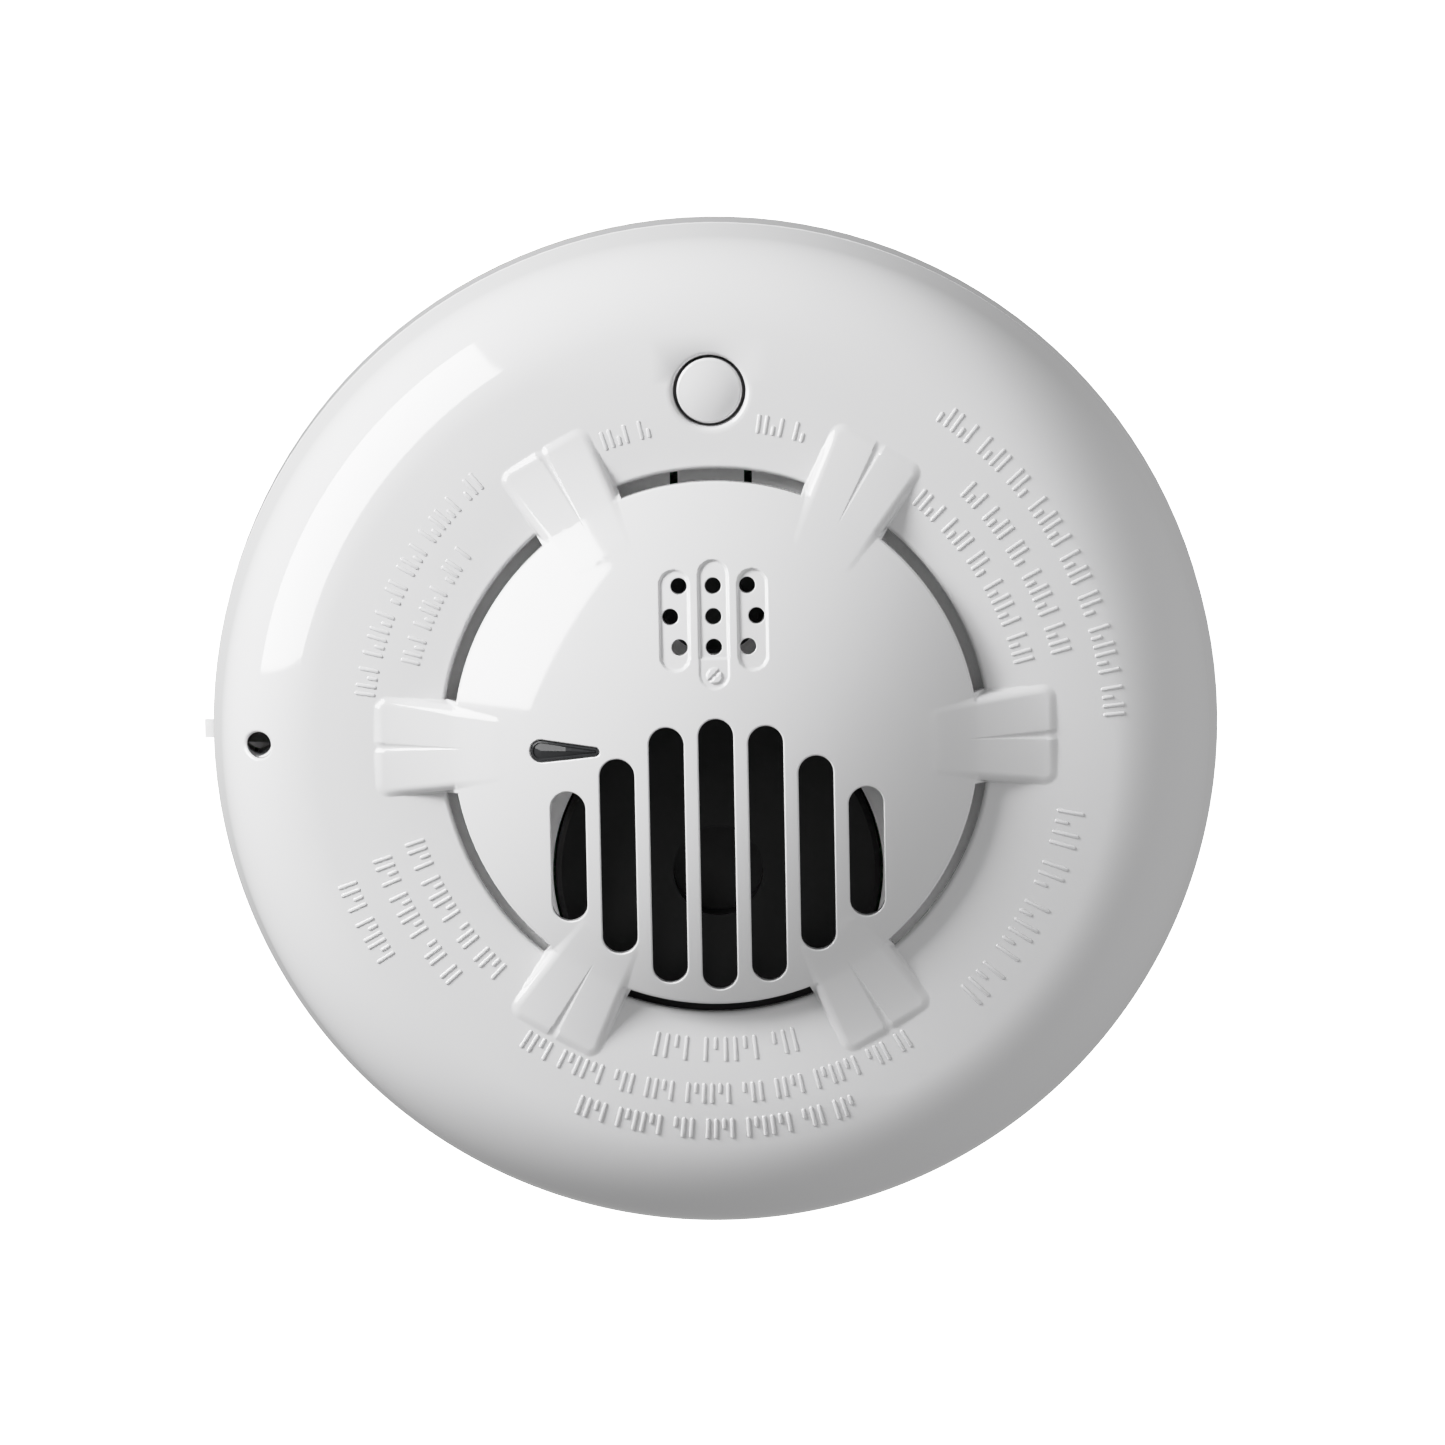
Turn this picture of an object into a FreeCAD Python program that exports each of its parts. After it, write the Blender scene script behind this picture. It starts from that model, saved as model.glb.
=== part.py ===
import FreeCAD, Part
import math
import os
import Sketcher

# A wired carbon monoxide alarm in the round smoke-detector form, lying on its back.
# Millimetres. The origin is the centre of the mounting base's back face, +Z points out of the
# wall into the room, and +Y points to the test button at 12 o'clock.

doc = FreeCAD.newDocument("alarm")
sheet = doc.addObject("Spreadsheet::Sheet", "dims")

DIMS = {
    # case
    "case_r": 71.0,
    "wall": 2.0,
    "seam_gap": 0.4,
    "skirt_top_z": 10.6,
    "back_round": 1.0,
    "seam_round": 0.4,
    "crest_r": 53.5,
    "crest_z": 32.2,
    # inner lip of the ring and the dome inside it
    "lip_r": 38.3,
    "lip_z": 33.4,
    "lip_low_z": 31.0,
    "lip_round": 1.0,
    "dome_r": 36.8,
    "dome_edge_z": 36.2,
    "dome_low_z": 33.8,
    "dome_ball_r": 72.0,
    # arms that carry the dome
    "arm_in_r": 30.0,
    "arm_in_low_z": 38.2,
    "arm_in_top_z": 39.6,
    "arm_end_r": 48.2,
    "arm_in_width": 10.4,
    "arm_end_width": 15.0,
    "arm_groove_r": 1.7,
    "arm_groove_in": 33.5,
    # sounder slots in the dome
    "slot_width": 4.9,
    "slot_pitch": 6.94,
    "slot_mid_y": -15.05,
    "slot_long_0": 39.1,
    "slot_long_1": 36.9,
    "slot_long_2": 28.1,
    "slot_long_3": 18.7,
    # gas holes and their pockets
    "gas_y": 18.6,
    "gas_hole_r": 1.12,
    "gas_row": 4.18,
    "gas_near": 4.78,
    "gas_far": 6.02,
    "pocket_y": 18.1,
    "pocket_mid_y": 17.5,
    "pocket_width": 4.5,
    "pocket_long": 14.3,
    "pocket_longer": 3.7,
    "pocket_pitch": 5.45,
    "pocket_deep": 0.5,
    # light window
    "window_x": 24.4,
    "window_r": 1.5,
    "window_tip_x": 16.9,
    "window_tip_r": 0.55,
    "window_gap": 0.12,
    "lamp_x": 20.9,
    # test button and its switch
    "button_y": 49.2,
    "button_r": 4.6,
    "button_hole_r": 5.1,
    "button_top_z": 33.2,
    "button_crown": 0.6,
    "button_low_z": 26.6,
    "button_travel": 0.8,
    "collar_r": 6.6,
    "collar_low_z": 27.0,
    "flange_r": 5.9,
    "flange_low_z": 25.4,
    "stem_r": 2.0,
    "stem_low_z": 20.9,
    "switch_top_z": 20.0,
    "switch_size": 7.4,
    "plunger_r": 1.75,
    "plunger_fit": 0.08,
    "plunger_top_z": 20.8,
    "plunger_low_z": 18.2,
    # release hole and lock arm
    "pin_x": 64.3,
    "pin_hole_r": 1.85,
    "lock_pivot_x": 57.0,
    "lock_pivot_z": 4.6,
    "lock_pin_r": 0.8,
    "lock_fit": 0.05,
    "lock_hub_r": 1.9,
    "lock_low_z": 4.9,
    "lock_top_z": 6.5,
    "lock_end_x": 72.3,
    "lock_width": 2.5,
    "tooth_top_z": 10.8,
    # mounting base
    "plate": 2.0,
    "wire_hole_r": 22.0,
    "slot_spacing": 77.0,
    "screw_slot_r": 2.2,
    "screw_slot_long": 18.0,
    "hook_in_r": 55.0,
    "hook_wall_r": 58.0,
    "hook_out_r": 60.0,
    "hook_under_z": 6.3,
    "hook_top_z": 8.3,
    "hook_angle": 14.0,
    "lug_in_r": 53.5,
    "lug_out_r": 57.5,
    "lug_low_z": 4.2,
    "lug_top_z": 5.9,
    "lug_angle": 10.0,
    # terminals
    "terminal_r": 41.5,
    "terminal_pad": 10.0,
    "pad_top_z": 4.0,
    "strip": 0.8,
    "strip_width": 7.0,
    "leaf_top_z": 10.1,
    "terminal_screw_r": 1.5,
    "terminal_head_r": 3.4,
    # rear housing
    "floor_z": 11.2,
    "floor": 1.6,
    "tray_r": 68.3,
    "tray_top_z": 14.5,
    "tray_wall": 1.6,
    "boss_r": 61.0,
    "boss_size": 3.2,
    "cover_screw_r": 1.45,
    "cover_screw_head_r": 2.8,
    "post_r": 52.0,
    # circuit board
    "board_z": 15.0,
    "board": 1.6,
    "board_r": 57.0,
    "board_screw_r": 1.0,
    # inner deck
    "deck_z": 27.6,
    "deck": 1.6,
    "deck_r": 44.5,
    "deck_leg_ring_r": 40.0,
    "rim_in_r": 35.2,
    "rim_out_r": 40.3,
    "rim_top_z": 29.8,
    # sounder
    "horn_y": -18.7,
    "horn_r": 22.8,
    "horn_foot": 1.0,
    "horn_base_top_z": 19.2,
    "horn_top_z": 29.9,
    "horn_mouth_r": 6.3,
    "piezo_z": 21.0,
    "piezo_r": 17.5,
    # gas cell
    "cell_y": 20.0,
    "cell_r": 7.0,
    "cell_top_z": 31.0,
    "cap_r": 7.3,
    "cap_top_z": 37.0,
}


def fill_sheet():
    """One row of the sheet for each driving dimension."""
    for row, (alias, size) in enumerate(DIMS.items(), start=1):
        sheet.set("A%d" % row, alias)
        sheet.set("B%d" % row, str(size))
        sheet.setAlias("B%d" % row, alias)
    doc.recompute()


def size_of(text):
    """The number an expression on the sheet comes to."""
    answer = sheet.evalExpression(text)
    return float(getattr(answer, "Value", answer))


def bind(thing, **sizes):
    """Ties properties to expressions: bind(cylinder, Radius="dims.horn_r")."""
    for name, text in sizes.items():
        thing.setExpression(name, text)


def place(thing, x="0", y="0", z="0"):
    bind(thing, **{"Placement.Base.x": x, "Placement.Base.y": y, "Placement.Base.z": z})
    return thing


def turn(thing, degrees):
    """Turns a finished thing about the alarm's axis."""
    spin = FreeCAD.Rotation(FreeCAD.Vector(0, 0, 1), degrees)
    thing.Placement = FreeCAD.Placement(FreeCAD.Vector(), spin).multiply(thing.Placement)
    return thing


def cylinder(label, radius, low, top, x="0", y="0"):
    thing = doc.addObject("Part::Cylinder", label)
    bind(thing, Radius=radius, Height="(%s) - (%s)" % (top, low))
    return place(thing, x, y, low)


def box(label, wide, deep, low, top, x="0", y="0"):
    """A box centred on x and y."""
    thing = doc.addObject("Part::Box", label)
    bind(thing, Length=wide, Width=deep, Height="(%s) - (%s)" % (top, low))
    return place(thing, "(%s) - (%s) / 2" % (x, wide), "(%s) - (%s) / 2" % (y, deep), low)


def fuse(label, *things):
    thing = doc.addObject("Part::MultiFuse", label)
    thing.Shapes = list(things)
    return thing


def cut(label, solid, *tools):
    thing = doc.addObject("Part::Cut", label)
    thing.Base = solid
    thing.Tool = tools[0] if len(tools) == 1 else fuse(label + "_tools", *tools)
    return thing


def common(label, *things):
    thing = doc.addObject("Part::MultiCommon", label)
    thing.Shapes = list(things)
    return thing


def slot(label, width, long, low, top, x="0", y="0", along="y"):
    """A round-ended slot: a box with a cylinder at each end."""
    half = "((%s) - (%s)) / 2" % (long, width)
    straight = "(%s) - (%s)" % (long, width)
    if along == "y":
        ends = [(x, "(%s) + %s" % (y, half)), (x, "(%s) - %s" % (y, half))]
        middle = box(label + "_middle", width, straight, low, top, x, y)
    else:
        ends = [("(%s) + %s" % (x, half), y), ("(%s) - %s" % (x, half), y)]
        middle = box(label + "_middle", straight, width, low, top, x, y)
    radius = "(%s) / 2" % width
    rounds = [cylinder(label + "_end", radius, low, top, *end) for end in ends]
    return fuse(label, middle, *rounds)


def edge_between(start, end, radius):
    """A straight edge, or an arc that bulges to the right of its direction if radius is positive."""
    if not radius:
        return Part.LineSegment(start, end), (1, 2)
    chord = end - start
    middle = (start + end) * 0.5
    left = FreeCAD.Vector(-chord.y, chord.x, 0).normalize()
    reach = math.sqrt(radius**2 - (chord.Length / 2) ** 2)
    side = 1 if radius > 0 else -1
    centre = middle + left * reach * side
    circle = Part.Circle(centre, FreeCAD.Vector(0, 0, 1), abs(radius))
    first, last = (start, end) if side > 0 else (end, start)
    angles = [math.atan2(p.y - centre.y, p.x - centre.x) for p in (first, last)]
    return Part.ArcOfCircle(circle, *angles), (1, 2) if side > 0 else (2, 1)


def draw(sketch, outline):
    """A closed outline, each corner (across, up) or (across, up, radius of the edge that leaves it)."""
    corners = [FreeCAD.Vector(size_of(c[0]), size_of(c[1]), 0) for c in outline]
    count = len(outline)
    ends = []
    for i, corner in enumerate(outline):
        radius = size_of(corner[2]) if len(corner) == 3 else 0
        edge, order = edge_between(corners[i], corners[(i + 1) % count], radius)
        sketch.addGeometry(edge, False)
        ends.append(order)
    for i in range(count):
        after = (i + 1) % count
        sketch.addConstraint(Sketcher.Constraint("Coincident", i, ends[i][1], after, ends[after][0]))
    for i, corner in enumerate(outline):
        across = ("DistanceX", corner[0], corners[i].x)
        upward = ("DistanceY", corner[1], corners[i].y)
        for kind, text, number in (across, upward):
            index = sketch.addConstraint(Sketcher.Constraint(kind, -1, 1, i, ends[i][0], number))
            sketch.setExpression("Constraints[%d]" % index, text)
        if len(corner) == 3:
            number = abs(size_of(corner[2]))
            index = sketch.addConstraint(Sketcher.Constraint("Radius", i, number))
            sketch.setExpression("Constraints[%d]" % index, "abs(%s)" % corner[2])


def sketched_body(label, role, outline):
    """A PartDesign body with one sketch on one of its own origin planes."""
    body = doc.addObject("PartDesign::Body", label)
    plane = next(f for f in body.Origin.OriginFeatures if f.Role == role)
    sketch = body.newObject("Sketcher::SketchObject", label + "_sketch")
    sketch.AttachmentSupport = [(plane, "")]
    sketch.MapMode = "FlatFace"
    draw(sketch, outline)
    return body, sketch


def turned(label, outline):
    """A turned piece: an outline of (radius, height) corners revolved about the vertical axis."""
    body, sketch = sketched_body(label, "XZ_Plane", outline)
    feature = body.newObject("PartDesign::Revolution", label + "_revolution")
    feature.Profile = sketch
    feature.ReferenceAxis = (sketch, ["V_Axis"])
    feature.Angle = 360
    return body


def sheet_part(label, outline, width):
    """A side profile of (radius, height) corners padded evenly to both sides of the XZ plane."""
    body, sketch = sketched_body(label, "XZ_Plane", outline)
    feature = body.newObject("PartDesign::Pad", label + "_pad")
    feature.Profile = sketch
    feature.SideType = "Symmetric"
    bind(feature, Length=width)
    return body


def prism(label, outline, low, tall):
    """A plan outline of (x, y) corners padded upwards from low."""
    body, sketch = sketched_body(label, "XY_Plane", outline)
    feature = body.newObject("PartDesign::Pad", label + "_pad")
    feature.Profile = sketch
    bind(feature, Length=tall)
    return place(body, z=low)


def sector(label, in_r, out_r, low, top, middle, spread):
    """A piece of a ring, spread degrees wide and centred on the angle middle."""
    outer = cylinder(label + "_outer", out_r, low, top)
    bind(outer, Angle=spread)
    inner = cylinder(label + "_inner", in_r, low, top)
    piece = cut(label, outer, inner)
    return turn(piece, middle - size_of(spread) / 2)


def at_angle(radius, degrees):
    """The x and y expressions of a point on a circle about the axis."""
    return "(%s) * cos(%g deg)" % (radius, degrees), "(%s) * sin(%g deg)" % (radius, degrees)


def spring(label, mean_r, wire_r, low, tall, turns, x="0", y="0"):
    """An open coil spring between two heights."""
    helix = doc.addObject("Part::Helix", label + "_path")
    rise = "(%s) - 2 * (%s)" % (tall, wire_r)
    bind(helix, Radius=mean_r, Height=rise, Pitch="(%s) / %d" % (rise, turns))
    ring = doc.addObject("Part::Circle", label + "_wire")
    bind(ring, Radius=wire_r)
    ring.Placement.Rotation = FreeCAD.Rotation(FreeCAD.Vector(1, 0, 0), 90)
    bind(ring, **{"Placement.Base.x": mean_r})
    coil = doc.addObject("Part::Sweep", label)
    coil.Sections = [ring]
    coil.Spine = (helix, ["Edge1"])
    coil.Solid = True
    coil.Frenet = True
    return place(coil, x, y, "(%s) + (%s)" % (low, wire_r))


# ---- levels that several sub-parts share ----
COVER_LOW = "dims.skirt_top_z + dims.seam_gap"
SHOULDER = "dims.case_r - dims.crest_r"
DOME_FLOOR = "dims.dome_edge_z - sqrt(dims.dome_ball_r^2 - dims.dome_r^2)"
DOME_TOP = "(%s) + dims.dome_ball_r" % DOME_FLOOR
FLOOR_TOP = "dims.floor_z + dims.floor"
BOARD_TOP = "dims.board_z + dims.board"
ABOVE_ALL = "60"
ARM_ANGLES = range(0, 360, 60)
HOOK_ANGLES = (30, 150, 270)
TERMINAL_ANGLES = (50, 130, 230, 310)
BOSS_ANGLES = (45, 135, 225, 315)
POST_ANGLES = (20, 140, 260)
DECK_LEG_ANGLES = (30, 150, 235, 305)


# ---- mounting base ----
def base_shell():
    """The flat back plate with its full-width skirt."""
    inside = "dims.case_r - dims.wall"
    return turned("base_shell", [
        ("dims.wire_hole_r", "0"),
        ("dims.case_r - dims.back_round", "0", "dims.back_round"),
        ("dims.case_r", "dims.back_round"),
        ("dims.case_r", "dims.skirt_top_z - dims.seam_round", "dims.seam_round"),
        ("dims.case_r - dims.seam_round", "dims.skirt_top_z"),
        (inside, "dims.skirt_top_z"),
        (inside, "dims.plate"),
        ("dims.wire_hole_r", "dims.plate"),
    ])


def base_hook(angle):
    """One bayonet hook: a wall with a flange over the lug, and an end stop."""
    wall = sector("hook_wall", "dims.hook_wall_r", "dims.hook_out_r", "dims.plate / 2", "dims.hook_top_z",
                  angle, "dims.hook_angle")
    flange = sector("hook_flange", "dims.hook_in_r", "dims.hook_wall_r + 0.5", "dims.hook_under_z",
                    "dims.hook_top_z", angle, "dims.hook_angle")
    stop = sector("hook_stop", "dims.hook_in_r", "dims.hook_out_r", "dims.plate / 2", "dims.hook_top_z",
                  angle - 7.5, "2.5")
    return [wall, flange, stop]


def lock_bearing(side):
    """One of the two ears that hold the lock arm's pivot pin."""
    ear = box("lock_ear", "4", "1.4", "dims.plate / 2", "dims.lock_pivot_z + 2",
              "-dims.lock_pivot_x", "%d * 3.1" % side)
    return ear


def cross_hole(label, radius, long):
    """A cylinder along Y at the lock arm's pivot."""
    hole = doc.addObject("Part::Cylinder", label)
    bind(hole, Radius=radius, Height=long)
    hole.Placement.Rotation = FreeCAD.Rotation(FreeCAD.Vector(1, 0, 0), 90)
    return place(hole, "-dims.lock_pivot_x", "(%s) / 2" % long, "dims.lock_pivot_z")


def terminal_pad():
    """A raised square under one terminal."""
    inner = "dims.terminal_r - dims.terminal_pad / 2"
    outer = "dims.terminal_r + dims.terminal_pad / 2"
    return sheet_part("terminal_pad", [
        (inner, "dims.plate / 2"),
        (outer, "dims.plate / 2"),
        (outer, "dims.pad_top_z"),
        (inner, "dims.pad_top_z"),
    ], "dims.terminal_pad")


def mounting_base():
    shell = base_shell()
    raised = [shell]
    holes = []
    for angle in HOOK_ANGLES:
        raised += base_hook(angle)
    for angle in TERMINAL_ANGLES:
        raised.append(turn(terminal_pad(), angle))
        holes.append(cylinder("terminal_hole", "dims.terminal_screw_r + 0.1", "1", "10",
                              *at_angle("dims.terminal_r", angle)))
    raised += [lock_bearing(-1), lock_bearing(1)]
    for side in (-1, 1):
        holes.append(slot("screw_slot", "2 * dims.screw_slot_r", "dims.screw_slot_long", "-1", "10",
                          "%d * dims.slot_spacing / 2" % side, "0", "x"))
    holes.append(cross_hole("lock_pin_seat", "dims.lock_pin_r + 0.02", "9"))
    holes.append(box("tab_window", "6", "dims.lock_width + 0.9", "dims.plate", "7.4", "-dims.case_r"))
    return cut("mounting_base", fuse("base_raised", *raised), *holes)


def terminal_contact(number, angle):
    """A brass strip: a foot under the wire screw, a riser and a leaf that meets the head's contact."""
    foot_in = "dims.terminal_r - 4.6"
    foot_out = "dims.terminal_r + 4.4"
    leaf_in = "dims.terminal_r - 11.5"
    foot_top = "dims.pad_top_z + dims.strip"
    leaf_low = "dims.leaf_top_z - dims.strip * 0.75"
    strip = sheet_part("contact_strip", [
        ("(%s) - dims.strip" % foot_in, "dims.pad_top_z"),
        (foot_out, "dims.pad_top_z"),
        (foot_out, foot_top),
        (foot_in, foot_top),
        (foot_in, "dims.leaf_top_z"),
        (leaf_in, "dims.leaf_top_z"),
        (leaf_in, leaf_low),
        ("(%s) - dims.strip" % foot_in, leaf_low),
    ], "dims.strip_width")
    hole = cylinder("contact_hole", "dims.terminal_screw_r + 0.1", "1", "6", "dims.terminal_r")
    return turn(cut("terminal_contact_%d" % number, strip, hole), angle)


def terminal_clamps():
    """Four square clamp plates that press the wires onto the strips."""
    low = "dims.pad_top_z + dims.strip"
    plates = []
    for angle in TERMINAL_ANGLES:
        plate = box("clamp_plate", "6.6", "7.6", low, "(%s) + 1" % low, "dims.terminal_r")
        hole = cylinder("clamp_hole", "dims.terminal_screw_r + 0.1", "4", "7", "dims.terminal_r")
        plates.append(turn(cut("clamp", plate, hole), angle))
    return fuse("terminal_clamps", *plates)


def cross_slot(label, x, y, top, long):
    """Two crossed bars for a screw's driver recess, 0.8 deep from top."""
    low = "(%s) - 0.8" % top
    high = "(%s) + 1" % top
    return [
        box(label + "_a", long, "0.9", low, high, x, y),
        box(label + "_b", "0.9", long, low, high, x, y),
    ]


def upright_screws(label, ring_r, angles, shank_r, head_r, tip, seat, top):
    """Identical screws driven from above: shank, pan head and a crossed recess."""
    screws = []
    for angle in angles:
        x, y = at_angle(ring_r, angle)
        shank = cylinder("shank", shank_r, tip, seat, x, y)
        head = cylinder("head", head_r, seat, top, x, y)
        recess = cross_slot("recess", x, y, top, "1.2 * (%s)" % head_r)
        screws.append(cut("screw", fuse("screw_blank", shank, head), *recess))
    return fuse(label, *screws)


def terminal_screws():
    seat = "dims.pad_top_z + dims.strip + 1"
    return upright_screws("terminal_screws", "dims.terminal_r", TERMINAL_ANGLES, "dims.terminal_screw_r",
                          "dims.terminal_head_r", "1.2", seat, "(%s) + 2.1" % seat)


# ---- release lock ----
def lock_pin():
    return cross_hole("lock_pivot_pin", "dims.lock_pin_r", "7.8")


def lock_arm():
    """A lever on a cross pin: hub, arm, the tooth under the release hole and the finger tab."""
    hub = cross_hole("lock_hub", "dims.lock_hub_r", "4")
    reach = "dims.lock_end_x - dims.lock_pivot_x - 1"
    bar = box("lock_bar", reach, "dims.lock_width", "dims.lock_low_z", "dims.lock_top_z",
              "-(dims.lock_end_x + dims.lock_pivot_x + 1) / 2")
    web = box("lock_web", "9", "4", "dims.lock_low_z", "dims.lock_top_z", "-62.3")
    tooth = box("lock_tooth", "3.4", "3", "dims.lock_low_z", "dims.tooth_top_z", "-dims.pin_x")
    bore = cross_hole("lock_bore", "dims.lock_pin_r + dims.lock_fit", "12")
    return cut("lock_arm", fuse("lock_blank", hub, bar, web, tooth), bore)


def lock_spring():
    return spring("lock_spring", "1.2", "0.2", "dims.plate + 0.02", "dims.lock_low_z - dims.plate - 0.06",
                  3, "-62.5")


# ---- rear housing and what hangs on it ----
def rear_housing():
    """A shallow tray with a bayonet skirt below and board posts above."""
    tray = turned("tray_shell", [
        ("0", "dims.floor_z"),
        ("dims.tray_r", "dims.floor_z"),
        ("dims.tray_r", "dims.tray_top_z"),
        ("dims.tray_r - dims.tray_wall", "dims.tray_top_z"),
        ("dims.tray_r - dims.tray_wall", FLOOR_TOP),
        ("0", FLOOR_TOP),
    ])
    skirt = cut("bayonet_skirt", cylinder("skirt_outer", "dims.lug_in_r", "3.2", "dims.floor_z + 0.5"),
                cylinder("skirt_inner", "dims.lug_in_r - 1.5", "3", "dims.floor_z + 0.5"))
    lugs = []
    for angle in HOOK_ANGLES:
        lugs.append(sector("lug", "dims.lug_in_r - 0.7", "dims.lug_out_r", "dims.lug_low_z",
                           "dims.lug_top_z", angle, "dims.lug_angle"))
    posts = []
    holes = [cylinder("release_hole", "dims.pin_hole_r + 0.5", "10", "20", "-dims.pin_x")]
    for angle in POST_ANGLES:
        x, y = at_angle("dims.post_r", angle)
        posts.append(cylinder("board_post", "2.6", "dims.floor_z + 0.5", "dims.board_z", x, y))
        holes.append(cylinder("post_pilot", "dims.board_screw_r + 0.03", "dims.board_z - 2.4", "16", x, y))
    for angle in BOSS_ANGLES:
        holes.append(cylinder("cover_screw_hole", "dims.cover_screw_r + 0.3", "10", "20",
                              *at_angle("dims.boss_r", angle)))
    for angle in TERMINAL_ANGLES:
        for radius in ("31", "36"):
            holes.append(cylinder("contact_pin_hole", "0.7", "10", "20", *at_angle(radius, angle)))
    return cut("rear_housing", fuse("housing_blank", tray, skirt, *lugs, *posts), *holes)


def head_contact(number, angle):
    """A flat plate under the housing's floor with two pins up to the circuit board."""
    plate = box("contact_plate", "9", "8", "dims.floor_z - dims.strip", "dims.floor_z", "33.5")
    pins = [cylinder("contact_pin", "0.6", "dims.floor_z - 0.2", "(%s) + 0.8" % BOARD_TOP, x)
            for x in ("31", "36")]
    return turn(fuse("head_contact_%d" % number, plate, *pins), angle)


def cover_screws():
    """Four screws from behind the housing's floor up into the cover's bosses."""
    screws = []
    for angle in BOSS_ANGLES:
        x, y = at_angle("dims.boss_r", angle)
        shank = cylinder("shank", "dims.cover_screw_r", "dims.floor_z", "22", x, y)
        head = cylinder("head", "dims.cover_screw_head_r", "dims.floor_z - 1.7", "dims.floor_z", x, y)
        low = "dims.floor_z - 2.7"
        recess = [box("recess", long, wide, low, "dims.floor_z - 0.9", x, y)
                  for long, wide in (("3.2", "0.8"), ("0.8", "3.2"))]
        screws.append(cut("screw", fuse("screw_blank", shank, head), *recess))
    return fuse("cover_screws", *screws)


# ---- front cover: ring, dome and six arms in one moulding ----
def ring_shell():
    """The outer ring: a top that falls a little outward, a quarter-round shoulder and a rounded lip."""
    inside = "dims.case_r - dims.wall"
    return turned("ring_shell", [
        ("dims.lip_r", "dims.lip_low_z"),
        ("dims.lip_r + dims.wall", "dims.lip_low_z"),
        ("dims.lip_r + dims.wall", "dims.lip_z - dims.wall"),
        ("dims.crest_r", "dims.crest_z - dims.wall", "-((%s) - dims.wall)" % SHOULDER),
        (inside, "dims.crest_z - (%s)" % SHOULDER),
        (inside, COVER_LOW),
        ("dims.case_r", COVER_LOW),
        ("dims.case_r", "dims.crest_z - (%s)" % SHOULDER, SHOULDER),
        ("dims.crest_r", "dims.crest_z"),
        ("dims.lip_r + dims.lip_round", "dims.lip_z", "dims.lip_round"),
        ("dims.lip_r", "dims.lip_z - dims.lip_round"),
    ])


def dome_shell():
    """A shallow ball cap with a short skirt at its edge."""
    inner_r = "dims.dome_r - dims.wall"
    inner_ball = "dims.dome_ball_r - dims.wall"
    inner_edge_z = "(%s) + sqrt((%s)^2 - (%s)^2)" % (DOME_FLOOR, inner_ball, inner_r)
    return turned("dome_shell", [
        ("0", "(%s) - dims.wall" % DOME_TOP, "-(%s)" % inner_ball),
        (inner_r, inner_edge_z),
        (inner_r, "dims.dome_low_z"),
        ("dims.dome_r", "dims.dome_low_z"),
        ("dims.dome_r", "dims.dome_edge_z", "dims.dome_ball_r"),
        ("0", DOME_TOP),
    ])


def dome_arm(angle):
    """One arm: a wedge from the dome's flank down to the ring's crest, with a groove that opens outward."""
    side = sheet_part("arm_side", [
        ("dims.arm_in_r", "dims.arm_in_low_z"),
        ("dims.dome_r - 2", "dims.dome_low_z + 0.6"),
        ("dims.lip_r", "dims.lip_low_z + 1"),
        ("dims.arm_end_r - 1", "dims.lip_z - dims.wall"),
        ("dims.arm_end_r", "dims.lip_z - 0.9"),
        ("dims.arm_end_r - 0.9", "dims.lip_z - 0.3"),
        ("dims.dome_r", "dims.dome_edge_z + 0.5"),
        ("dims.arm_in_r", "dims.arm_in_top_z"),
    ], "dims.arm_end_width")
    plan = prism("arm_plan", [
        ("dims.arm_in_r - 1", "-dims.arm_in_width / 2"),
        ("dims.arm_end_r + 1", "-dims.arm_end_width / 2"),
        ("dims.arm_end_r + 1", "dims.arm_end_width / 2"),
        ("dims.arm_in_r - 1", "dims.arm_in_width / 2"),
    ], "25", "25")
    groove = doc.addObject("Part::Cone", "arm_groove")
    bind(groove, Radius1="0.02", Radius2="dims.arm_groove_r",
         Height="dims.arm_end_r + 1 - dims.arm_groove_in")
    tilt = math.degrees(math.atan2(3.6, 12.4))
    groove.Placement.Rotation = FreeCAD.Rotation(FreeCAD.Vector(0, 1, 0), 90 + tilt)
    place(groove, "dims.arm_groove_in", "0", "dims.dome_edge_z + 1.95")
    return turn(cut("arm", common("arm_blank", side, plan), groove), angle)


def sounder_slots():
    """Seven round-ended slots, the middle one longest."""
    slots = []
    for step in range(-3, 4):
        slots.append(slot("sounder_slot", "dims.slot_width", "dims.slot_long_%d" % abs(step), "30",
                          ABOVE_ALL, "%d * dims.slot_pitch" % step, "dims.slot_mid_y"))
    return slots


def gas_openings():
    """Three shallow pockets that follow the dome, each with a column of three holes."""
    holes = []
    pockets = []
    for column in (-1, 0, 1):
        long = "dims.pocket_long" if column else "dims.pocket_long + dims.pocket_longer"
        middle = "dims.pocket_y" if column else "dims.pocket_mid_y"
        pockets.append(slot("gas_pocket", "dims.pocket_width", long, "35", ABOVE_ALL,
                            "%d * dims.pocket_pitch" % column, middle))
        for row in (-1, 0, 1):
            step = "dims.gas_far" if row == 0 else "dims.gas_near"
            holes.append(cylinder("gas_hole", "dims.gas_hole_r", "30", ABOVE_ALL,
                                  "%d * %s" % (column, step), "dims.gas_y + %d * dims.gas_row" % row))
    floor = doc.addObject("Part::Sphere", "pocket_floor")
    bind(floor, Radius="dims.dome_ball_r - dims.pocket_deep")
    place(floor, z=DOME_FLOOR)
    return holes + [cut("pocket_tools", fuse("gas_pockets", *pockets), floor)]


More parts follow.
